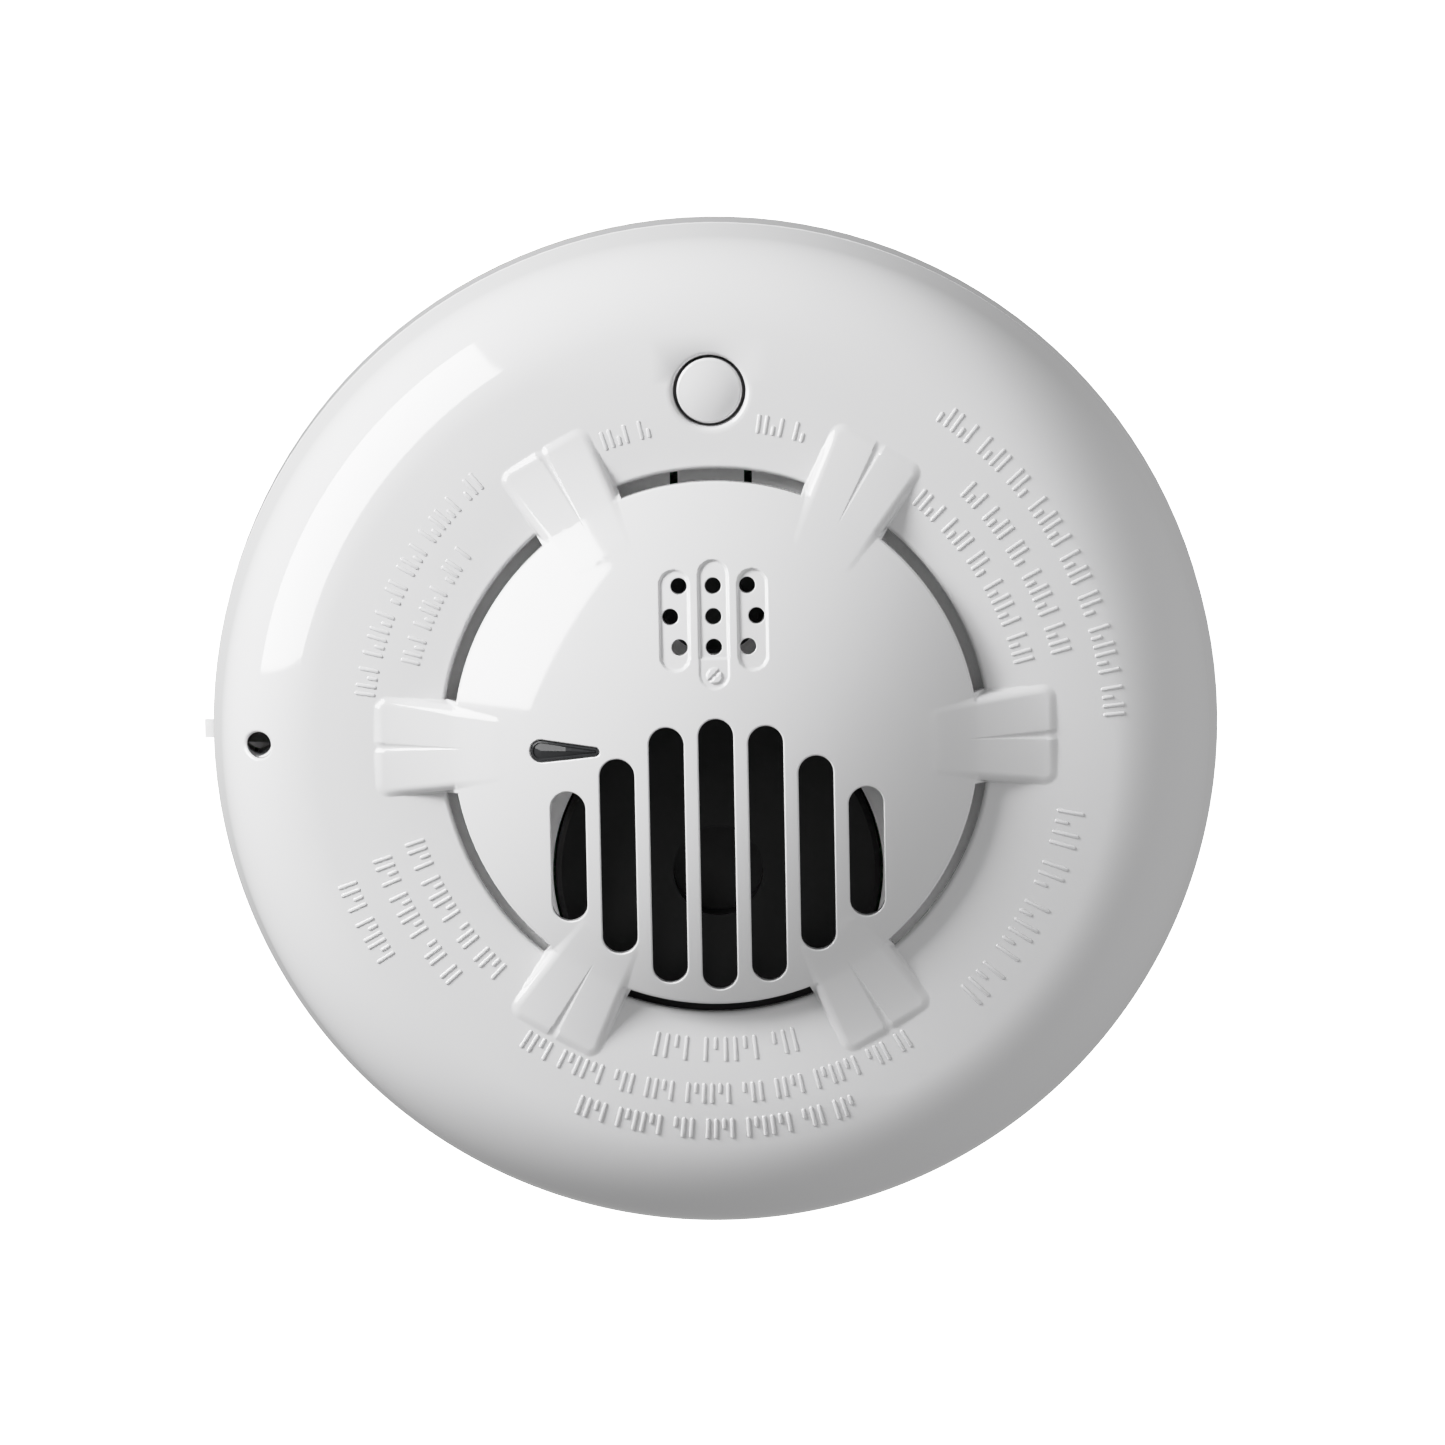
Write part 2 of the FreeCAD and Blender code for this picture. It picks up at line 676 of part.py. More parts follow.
def teardrop(label, grow, low, tall):
    """A teardrop plan: a large round end outboard, a small one inboard, joined by tangents."""
    big = "(dims.window_r + %s)" % grow
    small = "(dims.window_tip_r + %s)" % grow
    span = "(dims.window_x - dims.window_tip_x)"
    lean = "((%s - %s) / %s)" % (big, small, span)
    rise = "sqrt(1 - %s^2)" % lean
    big_x = "-dims.window_x + %s * %s" % (big, lean)
    small_x = "-dims.window_tip_x + %s * %s" % (small, lean)
    return prism(label, [
        (big_x, "%s * %s" % (big, rise)),
        ("-dims.window_x - %s" % big, "0", big),
        (big_x, "-%s * %s" % (big, rise)),
        (small_x, "-%s * %s" % (small, rise), small),
        ("-dims.window_tip_x + %s" % small, "0", small),
        (small_x, "%s * %s" % (small, rise)),
    ], low, tall)


def cover_fill():
    """The space under the middle of the cover's skin, which trims posts that reach up to it."""
    half_in = "dims.case_r - dims.wall / 2"
    return turned("cover_fill", [
        ("0", COVER_LOW),
        (half_in, COVER_LOW),
        (half_in, "dims.crest_z - (%s)" % SHOULDER, "(%s) - dims.wall / 2" % SHOULDER),
        ("dims.crest_r", "dims.crest_z - dims.wall / 2"),
        ("dims.crest_r - 1", "dims.crest_z - dims.wall / 4"),
        ("0", "dims.crest_z - dims.wall / 4"),
    ])


def cover_posts():
    """The four screw bosses, the button's collar and the release hole's guide tube."""
    posts = []
    for angle in BOSS_ANGLES:
        posts.append(cylinder("boss", "dims.boss_size", "%s + 0.1" % FLOOR_TOP, "dims.crest_z",
                              *at_angle("dims.boss_r", angle)))
    posts.append(cylinder("collar", "dims.collar_r", "dims.collar_low_z", "dims.crest_z",
                          "0", "dims.button_y"))
    posts.append(cylinder("guide", "dims.pin_hole_r + 1", "15", "dims.crest_z", "-dims.pin_x"))
    return common("cover_posts", fuse("post_blanks", *posts), cover_fill())


def front_cover():
    body = fuse("cover_blank", ring_shell(), dome_shell(), *[dome_arm(angle) for angle in ARM_ANGLES])
    holes = sounder_slots() + gas_openings()
    holes.append(teardrop("window_hole", "dims.window_gap", "30", "30"))
    holes.append(cylinder("button_hole", "dims.button_hole_r", "20", ABOVE_ALL, "0", "dims.button_y"))
    holes.append(cylinder("pin_hole", "dims.pin_hole_r", "12.9", ABOVE_ALL, "-dims.pin_x"))
    for angle in BOSS_ANGLES:
        holes.append(cylinder("boss_pilot", "dims.cover_screw_r + 0.02", "12", "22.6",
                              *at_angle("dims.boss_r", angle)))
    return cut("front_cover", fuse("cover_whole", body, cover_posts()), *holes)


# ---- circuit board and what is on it ----
def circuit_board():
    disc = cylinder("board_disc", "dims.board_r", "dims.board_z", BOARD_TOP)
    holes = []
    for angle in POST_ANGLES:
        holes.append(cylinder("board_hole", "dims.board_screw_r + 0.1", "14", "18",
                              *at_angle("dims.post_r", angle)))
    for angle in TERMINAL_ANGLES:
        for radius in ("31", "36"):
            holes.append(cylinder("board_pin_hole", "0.7", "14", "18", *at_angle(radius, angle)))
    return cut("circuit_board", disc, *holes)


def board_screws():
    return upright_screws("board_screws", "dims.post_r", POST_ANGLES, "dims.board_screw_r", "2",
                          "dims.board_z - 2.2", BOARD_TOP, "%s + 1.4" % BOARD_TOP)


def microcontroller():
    """A flat chip with a row of legs along two sides."""
    chip = box("chip", "9", "7", "%s + 0.2" % BOARD_TOP, "%s + 1.8" % BOARD_TOP, "33", "8")
    legs = [box("chip_leg", "0.5", "9.4", BOARD_TOP, "%s + 0.5" % BOARD_TOP, "%g" % (33 + 1.27 * step), "8")
            for step in range(-3, 4)]
    return fuse("microcontroller", chip, *legs)


def relay():
    """The sealed relay that tells the panel about an alarm."""
    can = box("relay_can", "15", "10", "%s + 0.3" % BOARD_TOP, "%s + 9" % BOARD_TOP, "42", "-6")
    feet = [cylinder("relay_foot", "0.5", BOARD_TOP, "%s + 0.5" % BOARD_TOP, x, y)
            for x in ("37", "47") for y in ("-9", "-3")]
    return fuse("relay", can, *feet)


def power_capacitors():
    """Two upright electrolytic cans."""
    cans = []
    for x, y in (("-40", "-14"), ("-47", "-5")):
        sleeve = cylinder("capacitor_can", "4", BOARD_TOP, "%s + 9" % BOARD_TOP, x, y)
        groove = cylinder("capacitor_groove", "3.6", "%s + 9" % BOARD_TOP, "%s + 9.4" % BOARD_TOP, x, y)
        cans.append(fuse("capacitor", sleeve, groove))
    return fuse("power_capacitors", *cans)


def horn_coil():
    """The step-up coil that drives the sounder: a ferrite bobbin with a wound waist."""
    x, y = "-33", "9"
    parts = [
        cylinder("bobbin_foot", "5", BOARD_TOP, "%s + 1.4" % BOARD_TOP, x, y),
        cylinder("bobbin_waist", "4.2", "%s + 1" % BOARD_TOP, "%s + 7" % BOARD_TOP, x, y),
        cylinder("bobbin_head", "5", "%s + 6.6" % BOARD_TOP, "%s + 8" % BOARD_TOP, x, y),
    ]
    return fuse("horn_coil", *parts)


def status_led():
    """A round lamp under the light pipe."""
    body = cylinder("lamp_body", "1.5", BOARD_TOP, "%s + 2.4" % BOARD_TOP, "-dims.lamp_x")
    rim = cylinder("lamp_rim", "1.8", BOARD_TOP, "%s + 0.8" % BOARD_TOP, "-dims.lamp_x")
    return fuse("status_led", body, rim)


def light_pipe():
    """A clear rod from the lamp up to a teardrop window that follows the dome."""
    window = teardrop("window_block", "0", "39", "8")
    skin = doc.addObject("Part::Sphere", "window_skin")
    bind(skin, Radius="dims.dome_ball_r - 0.15")
    place(skin, z=DOME_FLOOR)
    head = common("window_head", window, skin)
    rod = cylinder("pipe_rod", "1.45", "%s + 2.7" % BOARD_TOP, "40", "-dims.lamp_x")
    return fuse("light_pipe", head, rod)


# ---- inner deck, sounder and gas cell ----
def inner_deck():
    """The white deck on four legs, with a raised rim under the gap, open for the sounder and the cell."""
    plate = cylinder("deck_plate", "dims.deck_r", "dims.deck_z", "dims.deck_z + dims.deck")
    legs = [cylinder("deck_leg", "2", BOARD_TOP, "dims.deck_z + 0.2",
                     *at_angle("dims.deck_leg_ring_r", angle)) for angle in DECK_LEG_ANGLES]
    rim = cut("deck_rim", cylinder("rim_outer", "dims.rim_out_r", "dims.deck_z + 0.5", "dims.rim_top_z"),
              cylinder("rim_inner", "dims.rim_in_r", "dims.deck_z", "dims.rim_top_z + 1"))
    low, high = "dims.deck_z - 1", "dims.rim_top_z + 1"
    holes = [
        cylinder("deck_horn_hole", "dims.horn_r + 0.4", low, high, "0", "dims.horn_y"),
        cylinder("deck_cell_hole", "dims.cap_r + 0.4", low, high, "0", "dims.cell_y"),
        cylinder("deck_button_hole", "dims.collar_r + 0.6", low, high, "0", "dims.button_y"),
        cylinder("deck_pipe_hole", "2", low, high, "-dims.lamp_x"),
    ]
    for side in (-1, 1):
        holes.append(box("tongue_slot", "1.1", "9", low, high, "%d * 5.2" % side, "38"))
    return cut("inner_deck", fuse("deck_blank", plate, rim, *legs), *holes)


def sounder_turned(label, outline):
    return place(turned(label, outline), y="dims.horn_y")


def horn_base():
    """The sounder's back plate: a ring foot below and the ring that carries the piezo disc above."""
    plate = sounder_turned("horn_plate", [
        ("0", "%s + dims.horn_foot" % BOARD_TOP),
        ("14", "%s + dims.horn_foot" % BOARD_TOP),
        ("14", BOARD_TOP),
        ("16", BOARD_TOP),
        ("16", "%s + dims.horn_foot" % BOARD_TOP),
        ("dims.horn_r", "%s + dims.horn_foot" % BOARD_TOP),
        ("dims.horn_r", "dims.horn_base_top_z"),
        ("10", "dims.horn_base_top_z"),
        ("10", "dims.piezo_z"),
        ("8.5", "dims.piezo_z"),
        ("8.5", "dims.horn_base_top_z"),
        ("0", "dims.horn_base_top_z"),
    ])
    holes = [cylinder("horn_pin_hole", "0.8", "16", "20", x, "dims.horn_y") for x in ("-4", "0", "4")]
    return cut("horn_base", plate, *holes)


def horn_pins():
    pins = [cylinder("horn_pin", "0.5", BOARD_TOP, "dims.piezo_z", x, "dims.horn_y")
            for x in ("-4", "0", "4")]
    return fuse("horn_pins", *pins)


def piezo_disc():
    disc = cylinder("piezo_brass", "dims.piezo_r", "dims.piezo_z", "dims.piezo_z + 0.3", "0", "dims.horn_y")
    wafer = cylinder("piezo_wafer", "12.5", "dims.piezo_z + 0.2", "dims.piezo_z + 0.6", "0", "dims.horn_y")
    return fuse("piezo_disc", disc, wafer)


def horn_housing():
    """The black resonator cup with a round mouth and a short tube behind it."""
    front_low = "dims.horn_top_z - 1.5"
    inner_r = "dims.horn_r - 1.2"
    return sounder_turned("horn_housing", [
        (inner_r, "dims.horn_base_top_z"),
        ("dims.horn_r", "dims.horn_base_top_z"),
        ("dims.horn_r", "dims.horn_top_z - 0.8"),
        ("dims.horn_r - 0.8", "dims.horn_top_z"),
        ("dims.horn_mouth_r", "dims.horn_top_z"),
        ("dims.horn_mouth_r", "23.5"),
        ("dims.horn_mouth_r + 1", "23.5"),
        ("dims.horn_mouth_r + 1", front_low),
        (inner_r, front_low),
    ])


def gas_sensor_can():
    """The electrochemical cell's can, with the bead near its mouth."""
    can = turned("gas_sensor_can", [
        ("0", BOARD_TOP),
        ("dims.cell_r", BOARD_TOP),
        ("dims.cell_r", "dims.cell_top_z - 4"),
        ("dims.cell_r - 0.5", "dims.cell_top_z - 3.5"),
        ("dims.cell_r - 0.5", "dims.cell_top_z - 2.9"),
        ("dims.cell_r", "dims.cell_top_z - 2.4"),
        ("dims.cell_r", "dims.cell_top_z"),
        ("0", "dims.cell_top_z"),
    ])
    return place(can, y="dims.cell_y")


def gas_sensor_cap():
    """The black cap over the cell, with a recess for the filter and a gas inlet."""
    cap = turned("gas_sensor_cap", [
        ("1.5", "dims.cell_top_z"),
        ("dims.cap_r", "dims.cell_top_z"),
        ("dims.cap_r", "dims.cap_top_z - 0.6"),
        ("dims.cap_r - 0.6", "dims.cap_top_z"),
        ("4.5", "dims.cap_top_z"),
        ("4.5", "dims.cap_top_z - 1.4"),
        ("1.5", "dims.cap_top_z - 1.4"),
    ])
    return place(cap, y="dims.cell_y")


def sensor_filter():
    """The dust filter disc in the cap's recess."""
    return cylinder("sensor_filter", "4.4", "dims.cap_top_z - 1.4", "dims.cap_top_z - 0.7",
                    "0", "dims.cell_y")


# ---- test button and switch ----
def test_button():
    """A domed cap on a flange that stops under the collar, and a stem down to the switch."""
    cap_side_z = "dims.button_top_z - dims.button_crown"
    crown_ball = "((dims.button_r - 0.5)^2 + dims.button_crown^2) / (2 * dims.button_crown)"
    button = turned("test_button", [
        ("0", "dims.stem_low_z"),
        ("dims.stem_r", "dims.stem_low_z"),
        ("dims.stem_r", "dims.flange_low_z"),
        ("dims.flange_r", "dims.flange_low_z"),
        ("dims.flange_r", "dims.button_low_z"),
        ("dims.button_r", "dims.button_low_z"),
        ("dims.button_r", "(%s) - 0.5" % cap_side_z, "0.5"),
        ("dims.button_r - 0.5", cap_side_z, crown_ball),
        ("0", "dims.button_top_z"),
    ])
    return place(button, y="dims.button_y")


def button_spring():
    return spring("button_spring", "2.85", "0.3", "dims.switch_top_z + 0.02",
                  "dims.flange_low_z - dims.switch_top_z - 0.04", 4, "0", "dims.button_y")


def switch_body():
    block = box("switch_block", "dims.switch_size", "dims.switch_size", BOARD_TOP, "dims.switch_top_z", "0",
                "dims.button_y")
    well = cylinder("switch_well", "dims.plunger_r + dims.plunger_fit",
                    "dims.plunger_low_z - dims.button_travel - 0.2", "21", "0", "dims.button_y")
    return cut("switch_body", block, well)


def switch_plunger():
    return cylinder("switch_plunger", "dims.plunger_r", "dims.plunger_low_z", "dims.plunger_top_z", "0",
                    "dims.button_y")


def all_parts():
    """Every sub-part, in the order it would go together."""
    parts = [mounting_base(), terminal_clamps(), terminal_screws(), lock_pin(), lock_arm(), lock_spring()]
    for number, angle in enumerate(TERMINAL_ANGLES, start=1):
        parts.append(terminal_contact(number, angle))
        parts.append(head_contact(number, angle))
    parts += [rear_housing(), cover_screws(), front_cover(), circuit_board(), board_screws()]
    parts += [microcontroller(), relay(), power_capacitors(), horn_coil(), status_led(), light_pipe()]
    parts += [inner_deck(), horn_base(), horn_pins(), piezo_disc(), horn_housing()]
    parts += [gas_sensor_can(), gas_sensor_cap(), sensor_filter()]
    parts += [test_button(), button_spring(), switch_body(), switch_plunger()]
    return parts


def check(parts):
    """Stops if anything in the document failed or a sub-part isn't a sound solid."""
    failed = [o.Label for o in doc.Objects if "Invalid" in o.State or "Error" in o.State]
    for part in parts:
        shape = part.Shape
        if shape.isNull() or not shape.isValid() or not shape.Solids:
            failed.append(part.Label)
    if failed:
        raise SystemExit("failed: " + ", ".join(failed))


def export(parts):
    os.makedirs("parts", exist_ok=True)
    for part in parts:
        part.Shape.exportStep("parts/%s.step" % part.Label)


fill_sheet()
finished = all_parts()
doc.recompute()
check(finished)
export(finished)
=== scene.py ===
import math

import bpy
import numpy as np
from mathutils import Matrix, Vector
from mathutils.geometry import delaunay_2d_cdt


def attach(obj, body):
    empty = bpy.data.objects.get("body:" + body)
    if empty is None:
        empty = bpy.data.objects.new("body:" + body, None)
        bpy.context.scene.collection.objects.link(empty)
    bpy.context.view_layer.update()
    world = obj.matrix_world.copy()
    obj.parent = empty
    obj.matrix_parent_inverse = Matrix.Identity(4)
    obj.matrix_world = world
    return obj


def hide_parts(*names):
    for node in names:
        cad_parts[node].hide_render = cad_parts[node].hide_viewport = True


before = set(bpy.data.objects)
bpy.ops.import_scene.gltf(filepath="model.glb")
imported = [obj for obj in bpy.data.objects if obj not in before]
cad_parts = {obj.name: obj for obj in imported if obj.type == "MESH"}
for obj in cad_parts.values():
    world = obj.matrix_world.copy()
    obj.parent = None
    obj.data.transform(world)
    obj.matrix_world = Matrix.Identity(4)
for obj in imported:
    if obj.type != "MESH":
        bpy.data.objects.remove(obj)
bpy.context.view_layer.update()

# A round wired alarm lying on its back, +Z towards the room and +Y towards the test button.
# Shapes are worked out in millimetres and turned into metres when a mesh is made.
MM = 0.001

# The cover's profile: a ball-shaped dome, a gap, a gently sloping ring and a round shoulder.
DOME_R = 36.8
BALL_R = 72.0
BALL_Z = -25.7
LIP_R = 38.3
LIP_Z = 33.4
CREST_R = 56.0
CREST_TILT = math.radians(9)
SIDE_TILT = math.radians(80)
CASE_R = 71.0
COVER_LOW = 11.0
WALL = 2.0
RING_CURVE = math.tan(CREST_TILT) / (2 * (CREST_R - LIP_R))
CREST_Z = LIP_Z - RING_CURVE * (CREST_R - LIP_R) ** 2
SHOULDER_R = 16.5
SHOULDER_Z = CREST_Z - SHOULDER_R * math.cos(CREST_TILT)
SIDE_R = CREST_R + SHOULDER_R * (math.sin(SIDE_TILT) - math.sin(CREST_TILT))
SIDE_Z = SHOULDER_Z + SHOULDER_R * math.cos(SIDE_TILT)
SIDE_RHO = CREST_R + SHOULDER_R * (SIDE_TILT - CREST_TILT)
EDGE_RHO = SIDE_RHO + math.hypot(CASE_R - SIDE_R, SIDE_Z - COVER_LOW)
EDGE_ROUND = 0.4

# The six arms that join the dome to the ring.
ARM_STEP = math.radians(60)
ARM_IN_R = 31.0
ARM_END_R = 48.1
ARM_END_SLOPE = -0.2
ARM_SINK = 0.25
ARM_HALF_IN = 5.3
ARM_FLARE = 0.13
ARM_CORNER = 2.2
ARM_ROUND = 1.5
ARM_STEEP = 0.97
ARM_STEP_UP = 0.3
ARM_FILLET = 0.6
CREASE_IN_R = 33.5
CREASE_HALF = 0.8
CREASE_DEEP = 0.5

# The gap between dome and ring.
GAP_BY_ARM = 0.45
GAP_ROUND_IN = 0.3
GAP_ROUND_OUT = 0.7

# Openings. Each is a capsule: two end points, two end radii and the round of its rim.
SLOT_PITCH = 6.94
SLOT_MID_Y = -15.05
SLOT_R = 2.45
SLOT_LONG = (39.1, 36.9, 28.1, 18.7)
SLOT_RIM = 0.25
GAS_Y = 18.6
GAS_ROW = 4.18
GAS_R = 1.12
GAS_COLUMN = (4.78, 6.02, 4.78)
GAS_RIM = 0.15
BUTTON_Y = 49.2
BUTTON_HOLE_R = 5.1
BUTTON_RIM = 0.5
PIN_X = -64.3
PIN_HOLE_R = 1.85
PIN_RIM = 0.4
UPRIGHT_R = 6.0
UPRIGHT_SIDE = 3.0
WINDOW_BIG = (-24.4, 1.5)
WINDOW_SMALL = (-16.9, 0.55)
WINDOW_GAP = 0.12
WINDOW_RIM = 0.2
# The window's outlines from foot to roof: growth past its teardrop, and height above the dome.
WINDOW_RINGS = ((0, -1.6), (0, -0.45), (-0.1, -0.22), (-0.3, -0.18), (-0.42, -0.42))
WINDOW_RIDGE_DEPTH = 0.12
WINDOW_RIDGE_SHARE = 0.08
ROD_X = -20.9
ROD_R = 1.45
ROD_ENDS = (19.3, 38.7)

# Pockets round the gas holes, and the small boss at the foot of the middle one.
POCKET_PITCH = 5.45
POCKET_Y = (18.1, 17.5, 18.1)
POCKET_R = 2.25
POCKET_HALF = (4.85, 6.75, 4.85)
POCKET_DEEP = 0.5
POCKET_SIDE = 0.45
STEP_Y = 13.1
STEP_UP = 0.28
STEP_SIDE = 0.4
BOSS_Y = 10.5
BOSS_R = 1.2
BOSS_UP = 0.3
BOSS_SIDE = 0.25
SLIT_HALF = 0.3
SLIT_SIDE = 0.2
SLIT_SHARE = 0.8
DISH_R = 6.1
DISH_DEEP = 0.35
DISH_SIDE = 1.6

# Screw bosses, the button's collar and the release hole's guide, under the cover.
BOSS_ANGLES = (45, 135, 225, 315)
BOSS_RING_R = 61
BOSS_TUBE = (3.2, 1.45, 12.9)
COLLAR_TUBE = (6.6, BUTTON_HOLE_R, 27.0)
GUIDE_TUBE = (PIN_HOLE_R + 1, PIN_HOLE_R, 15.0)
POST_DEPTH = 0.6


def smooth_step(value):
    value = np.clip(value, 0, 1)
    return value * value * (3 - 2 * value)


def smooth_max(a, b, width):
    return np.maximum(a, b) + np.maximum(width - np.abs(a - b), 0) ** 2 / (4 * width)


def shown_z(r):
    """Height of the plain dome, gap and ring at radius r, up to the crest."""
    dome = BALL_Z + np.sqrt(np.maximum(BALL_R ** 2 - r ** 2, 0))
    dome_edge = BALL_Z + math.sqrt(BALL_R ** 2 - DOME_R ** 2)
    gap = dome_edge + (LIP_Z - dome_edge) * (r - DOME_R) / (LIP_R - DOME_R)
    ring = LIP_Z - RING_CURVE * (r - LIP_R) ** 2
    return np.where(r <= DOME_R, dome, np.where(r < LIP_R, gap, ring))


def arm_place(x, y):
    """Distance out along the nearest arm, and distance across it."""
    angle = np.arctan2(y, x)
    angle = angle - ARM_STEP * np.round(angle / ARM_STEP)
    r = np.hypot(x, y)
    return r * np.cos(angle), r * np.sin(angle)


def arm_side(out, across):
    """Distance from the arm's side line: negative inside the arm."""
    half = ARM_HALF_IN + ARM_FLARE * (out - ARM_IN_R)
    return (np.abs(across) - half) * math.cos(math.atan(ARM_FLARE))


def arm_distance(out, across):
    side = arm_side(out, across) + ARM_CORNER
    end = out - ARM_END_R + ARM_CORNER
    outside = np.hypot(np.maximum(side, 0), np.maximum(end, 0))
    return outside + np.minimum(np.maximum(side, end), 0) - ARM_CORNER


def arm_z(x, y):
    """Top of the arm: it leaves the dome at the dome's own slope and flattens towards the ring."""
    out, across = arm_place(x, y)
    length = ARM_END_R - ARM_IN_R
    share = np.clip((out - ARM_IN_R) / length, 0, 1.3)
    start = BALL_Z + math.sqrt(BALL_R ** 2 - ARM_IN_R ** 2) - ARM_SINK
    start_slope = -ARM_IN_R / math.sqrt(BALL_R ** 2 - ARM_IN_R ** 2)
    end = LIP_Z - RING_CURVE * (ARM_END_R - LIP_R) ** 2 + ARM_STEP_UP
    top = (start * (2 * share ** 3 - 3 * share ** 2 + 1) + end * (3 * share ** 2 - 2 * share ** 3)
           + length * start_slope * (share ** 3 - 2 * share ** 2 + share)
           + length * ARM_END_SLOPE * (share ** 3 - share ** 2))
    inward = np.maximum(ARM_IN_R - out, 0)
    top = np.where(inward > 0, shown_z(out) - ARM_SINK * (1 + inward), top)
    top = top - across ** 2 / (2 * math.hypot(BALL_R, ARM_IN_R))
    reach = np.maximum(arm_distance(out, across) + ARM_ROUND, 0)
    steepest = ARM_STEEP * ARM_ROUND
    bend = np.minimum(reach, steepest)
    rise = math.sqrt(ARM_ROUND ** 2 - steepest ** 2)
    drop = ARM_ROUND - np.sqrt(ARM_ROUND ** 2 - bend ** 2)
    drop = drop + steepest / rise * np.maximum(reach - steepest, 0)
    opening = np.clip((out - CREASE_IN_R) / (ARM_END_R - CREASE_IN_R), 0.001, 1.2)
    crease = np.maximum(1 - np.sqrt(across ** 2 + 0.01) / (CREASE_HALF * opening), 0)
    return top - drop - CREASE_DEEP * opening * crease


def capsule_distance(x, y, shape):
    """Distance from a capsule with two end radii: negative inside it."""
    ax, ay, bx, by, a_r, b_r, _ = shape
    px, py = x - ax, y - ay
    dx, dy = bx - ax, by - ay
    length = math.hypot(dx, dy)
    if length == 0:
        return np.hypot(px, py) - a_r
    along = (px * dx + py * dy) / length
    side = np.abs(px * dy - py * dx) / length
    lean = (a_r - b_r) / length
    rise = math.sqrt(1 - lean * lean)
    turned = along * rise - side * lean
    near_a = np.hypot(side, along) - a_r
    near_b = np.hypot(side, along - length) - b_r
    flank = side * rise + along * lean - a_r
    return np.where(turned < 0, near_a, np.where(turned > length * rise, near_b, flank))


def openings():
    shapes = []
    for step in range(-3, 4):
        half = SLOT_LONG[abs(step)] / 2 - SLOT_R
        x = step * SLOT_PITCH
        shapes.append((x, SLOT_MID_Y - half, x, SLOT_MID_Y + half, SLOT_R, SLOT_R, SLOT_RIM))
    for row in (-1, 0, 1):
        for column in (-1, 0, 1):
            x, y = column * GAS_COLUMN[row + 1], GAS_Y + row * GAS_ROW
            shapes.append((x, y, x, y, GAS_R, GAS_R, GAS_RIM))
    shapes.append((0, BUTTON_Y, 0, BUTTON_Y, BUTTON_HOLE_R, BUTTON_HOLE_R, BUTTON_RIM))
    shapes.append((PIN_X, 0, PIN_X, 0, PIN_HOLE_R, PIN_HOLE_R, PIN_RIM))
    shapes.append((WINDOW_BIG[0], 0, WINDOW_SMALL[0], 0, WINDOW_BIG[1] + WINDOW_GAP,
                   WINDOW_SMALL[1] + WINDOW_GAP, WINDOW_RIM))
    return shapes


OPENINGS = openings()


def gap_distance(x, y):
    """Distance from the nearest of the six gaps between dome, ring and arms."""
    r = np.hypot(x, y)
    across_gap = np.maximum(DOME_R - r, r - LIP_R)
    to_arm = GAP_BY_ARM - arm_side(*arm_place(x, y))
    outside = np.hypot(np.maximum(across_gap, 0), np.maximum(to_arm, 0))
    return outside + np.minimum(np.maximum(across_gap, to_arm), 0)


def rim_drop(distance, radius):
    reach = np.clip(radius - distance, 0, radius * 0.999)
    return radius - np.sqrt(radius ** 2 - reach ** 2)


def feature_height(x, y, rho):
    """What is added to the plain cover: rounded rims, pockets, the boss and the button's dish."""
    height = np.zeros_like(x)
    for column in (-1, 0, 1):
        half = POCKET_HALF[column + 1]
        centre = column * POCKET_PITCH
        y_place = POCKET_Y[column + 1]
        pocket = (centre, y_place - half, centre, y_place + half, POCKET_R, POCKET_R, 0)
        inward = -capsule_distance(x, y, pocket)
        height = height - POCKET_DEEP * smooth_step(inward / POCKET_SIDE)
        if column == 0:
            below_step = smooth_step((STEP_Y - y) / STEP_SIDE)
            height = height + STEP_UP * smooth_step(inward / POCKET_SIDE) * below_step
    boss = smooth_step((BOSS_R - np.hypot(x, y - BOSS_Y)) / BOSS_SIDE)
    from_slit = np.abs(x - y + BOSS_Y) / math.sqrt(2)
    slit = smooth_step((SLIT_HALF - from_slit) / SLIT_SIDE)
    height = height + BOSS_UP * boss * (1 - SLIT_SHARE * slit)
    dish = np.hypot(x, y - BUTTON_Y)
    height = height - DISH_DEEP * smooth_step((DISH_R - dish) / DISH_SIDE)
    drop = np.zeros_like(x)
    for shape in OPENINGS:
        drop = np.maximum(drop, rim_drop(capsule_distance(x, y, shape), shape[-1]))
    outward = smooth_step((np.hypot(x, y) - DOME_R) / (LIP_R - DOME_R))
    gap_round = GAP_ROUND_IN + (GAP_ROUND_OUT - GAP_ROUND_IN) * outward
    drop = np.maximum(drop, rim_drop(gap_distance(x, y), gap_round))
    drop = np.maximum(drop, rim_drop(EDGE_RHO - rho, EDGE_ROUND))
    return height - drop


def to_rho(r):
    """Distance from the axis measured along the cover's surface beyond the crest."""
    sine = np.clip((r - CREST_R) / SHOULDER_R + math.sin(CREST_TILT), -1, 1)
    return np.where(r <= CREST_R, r, CREST_R + SHOULDER_R * (np.arcsin(sine) - CREST_TILT))


def unroll(x, y):
    r = np.hypot(x, y)
    scale = to_rho(r) / np.maximum(r, 1e-9)
    return x * scale, y * scale


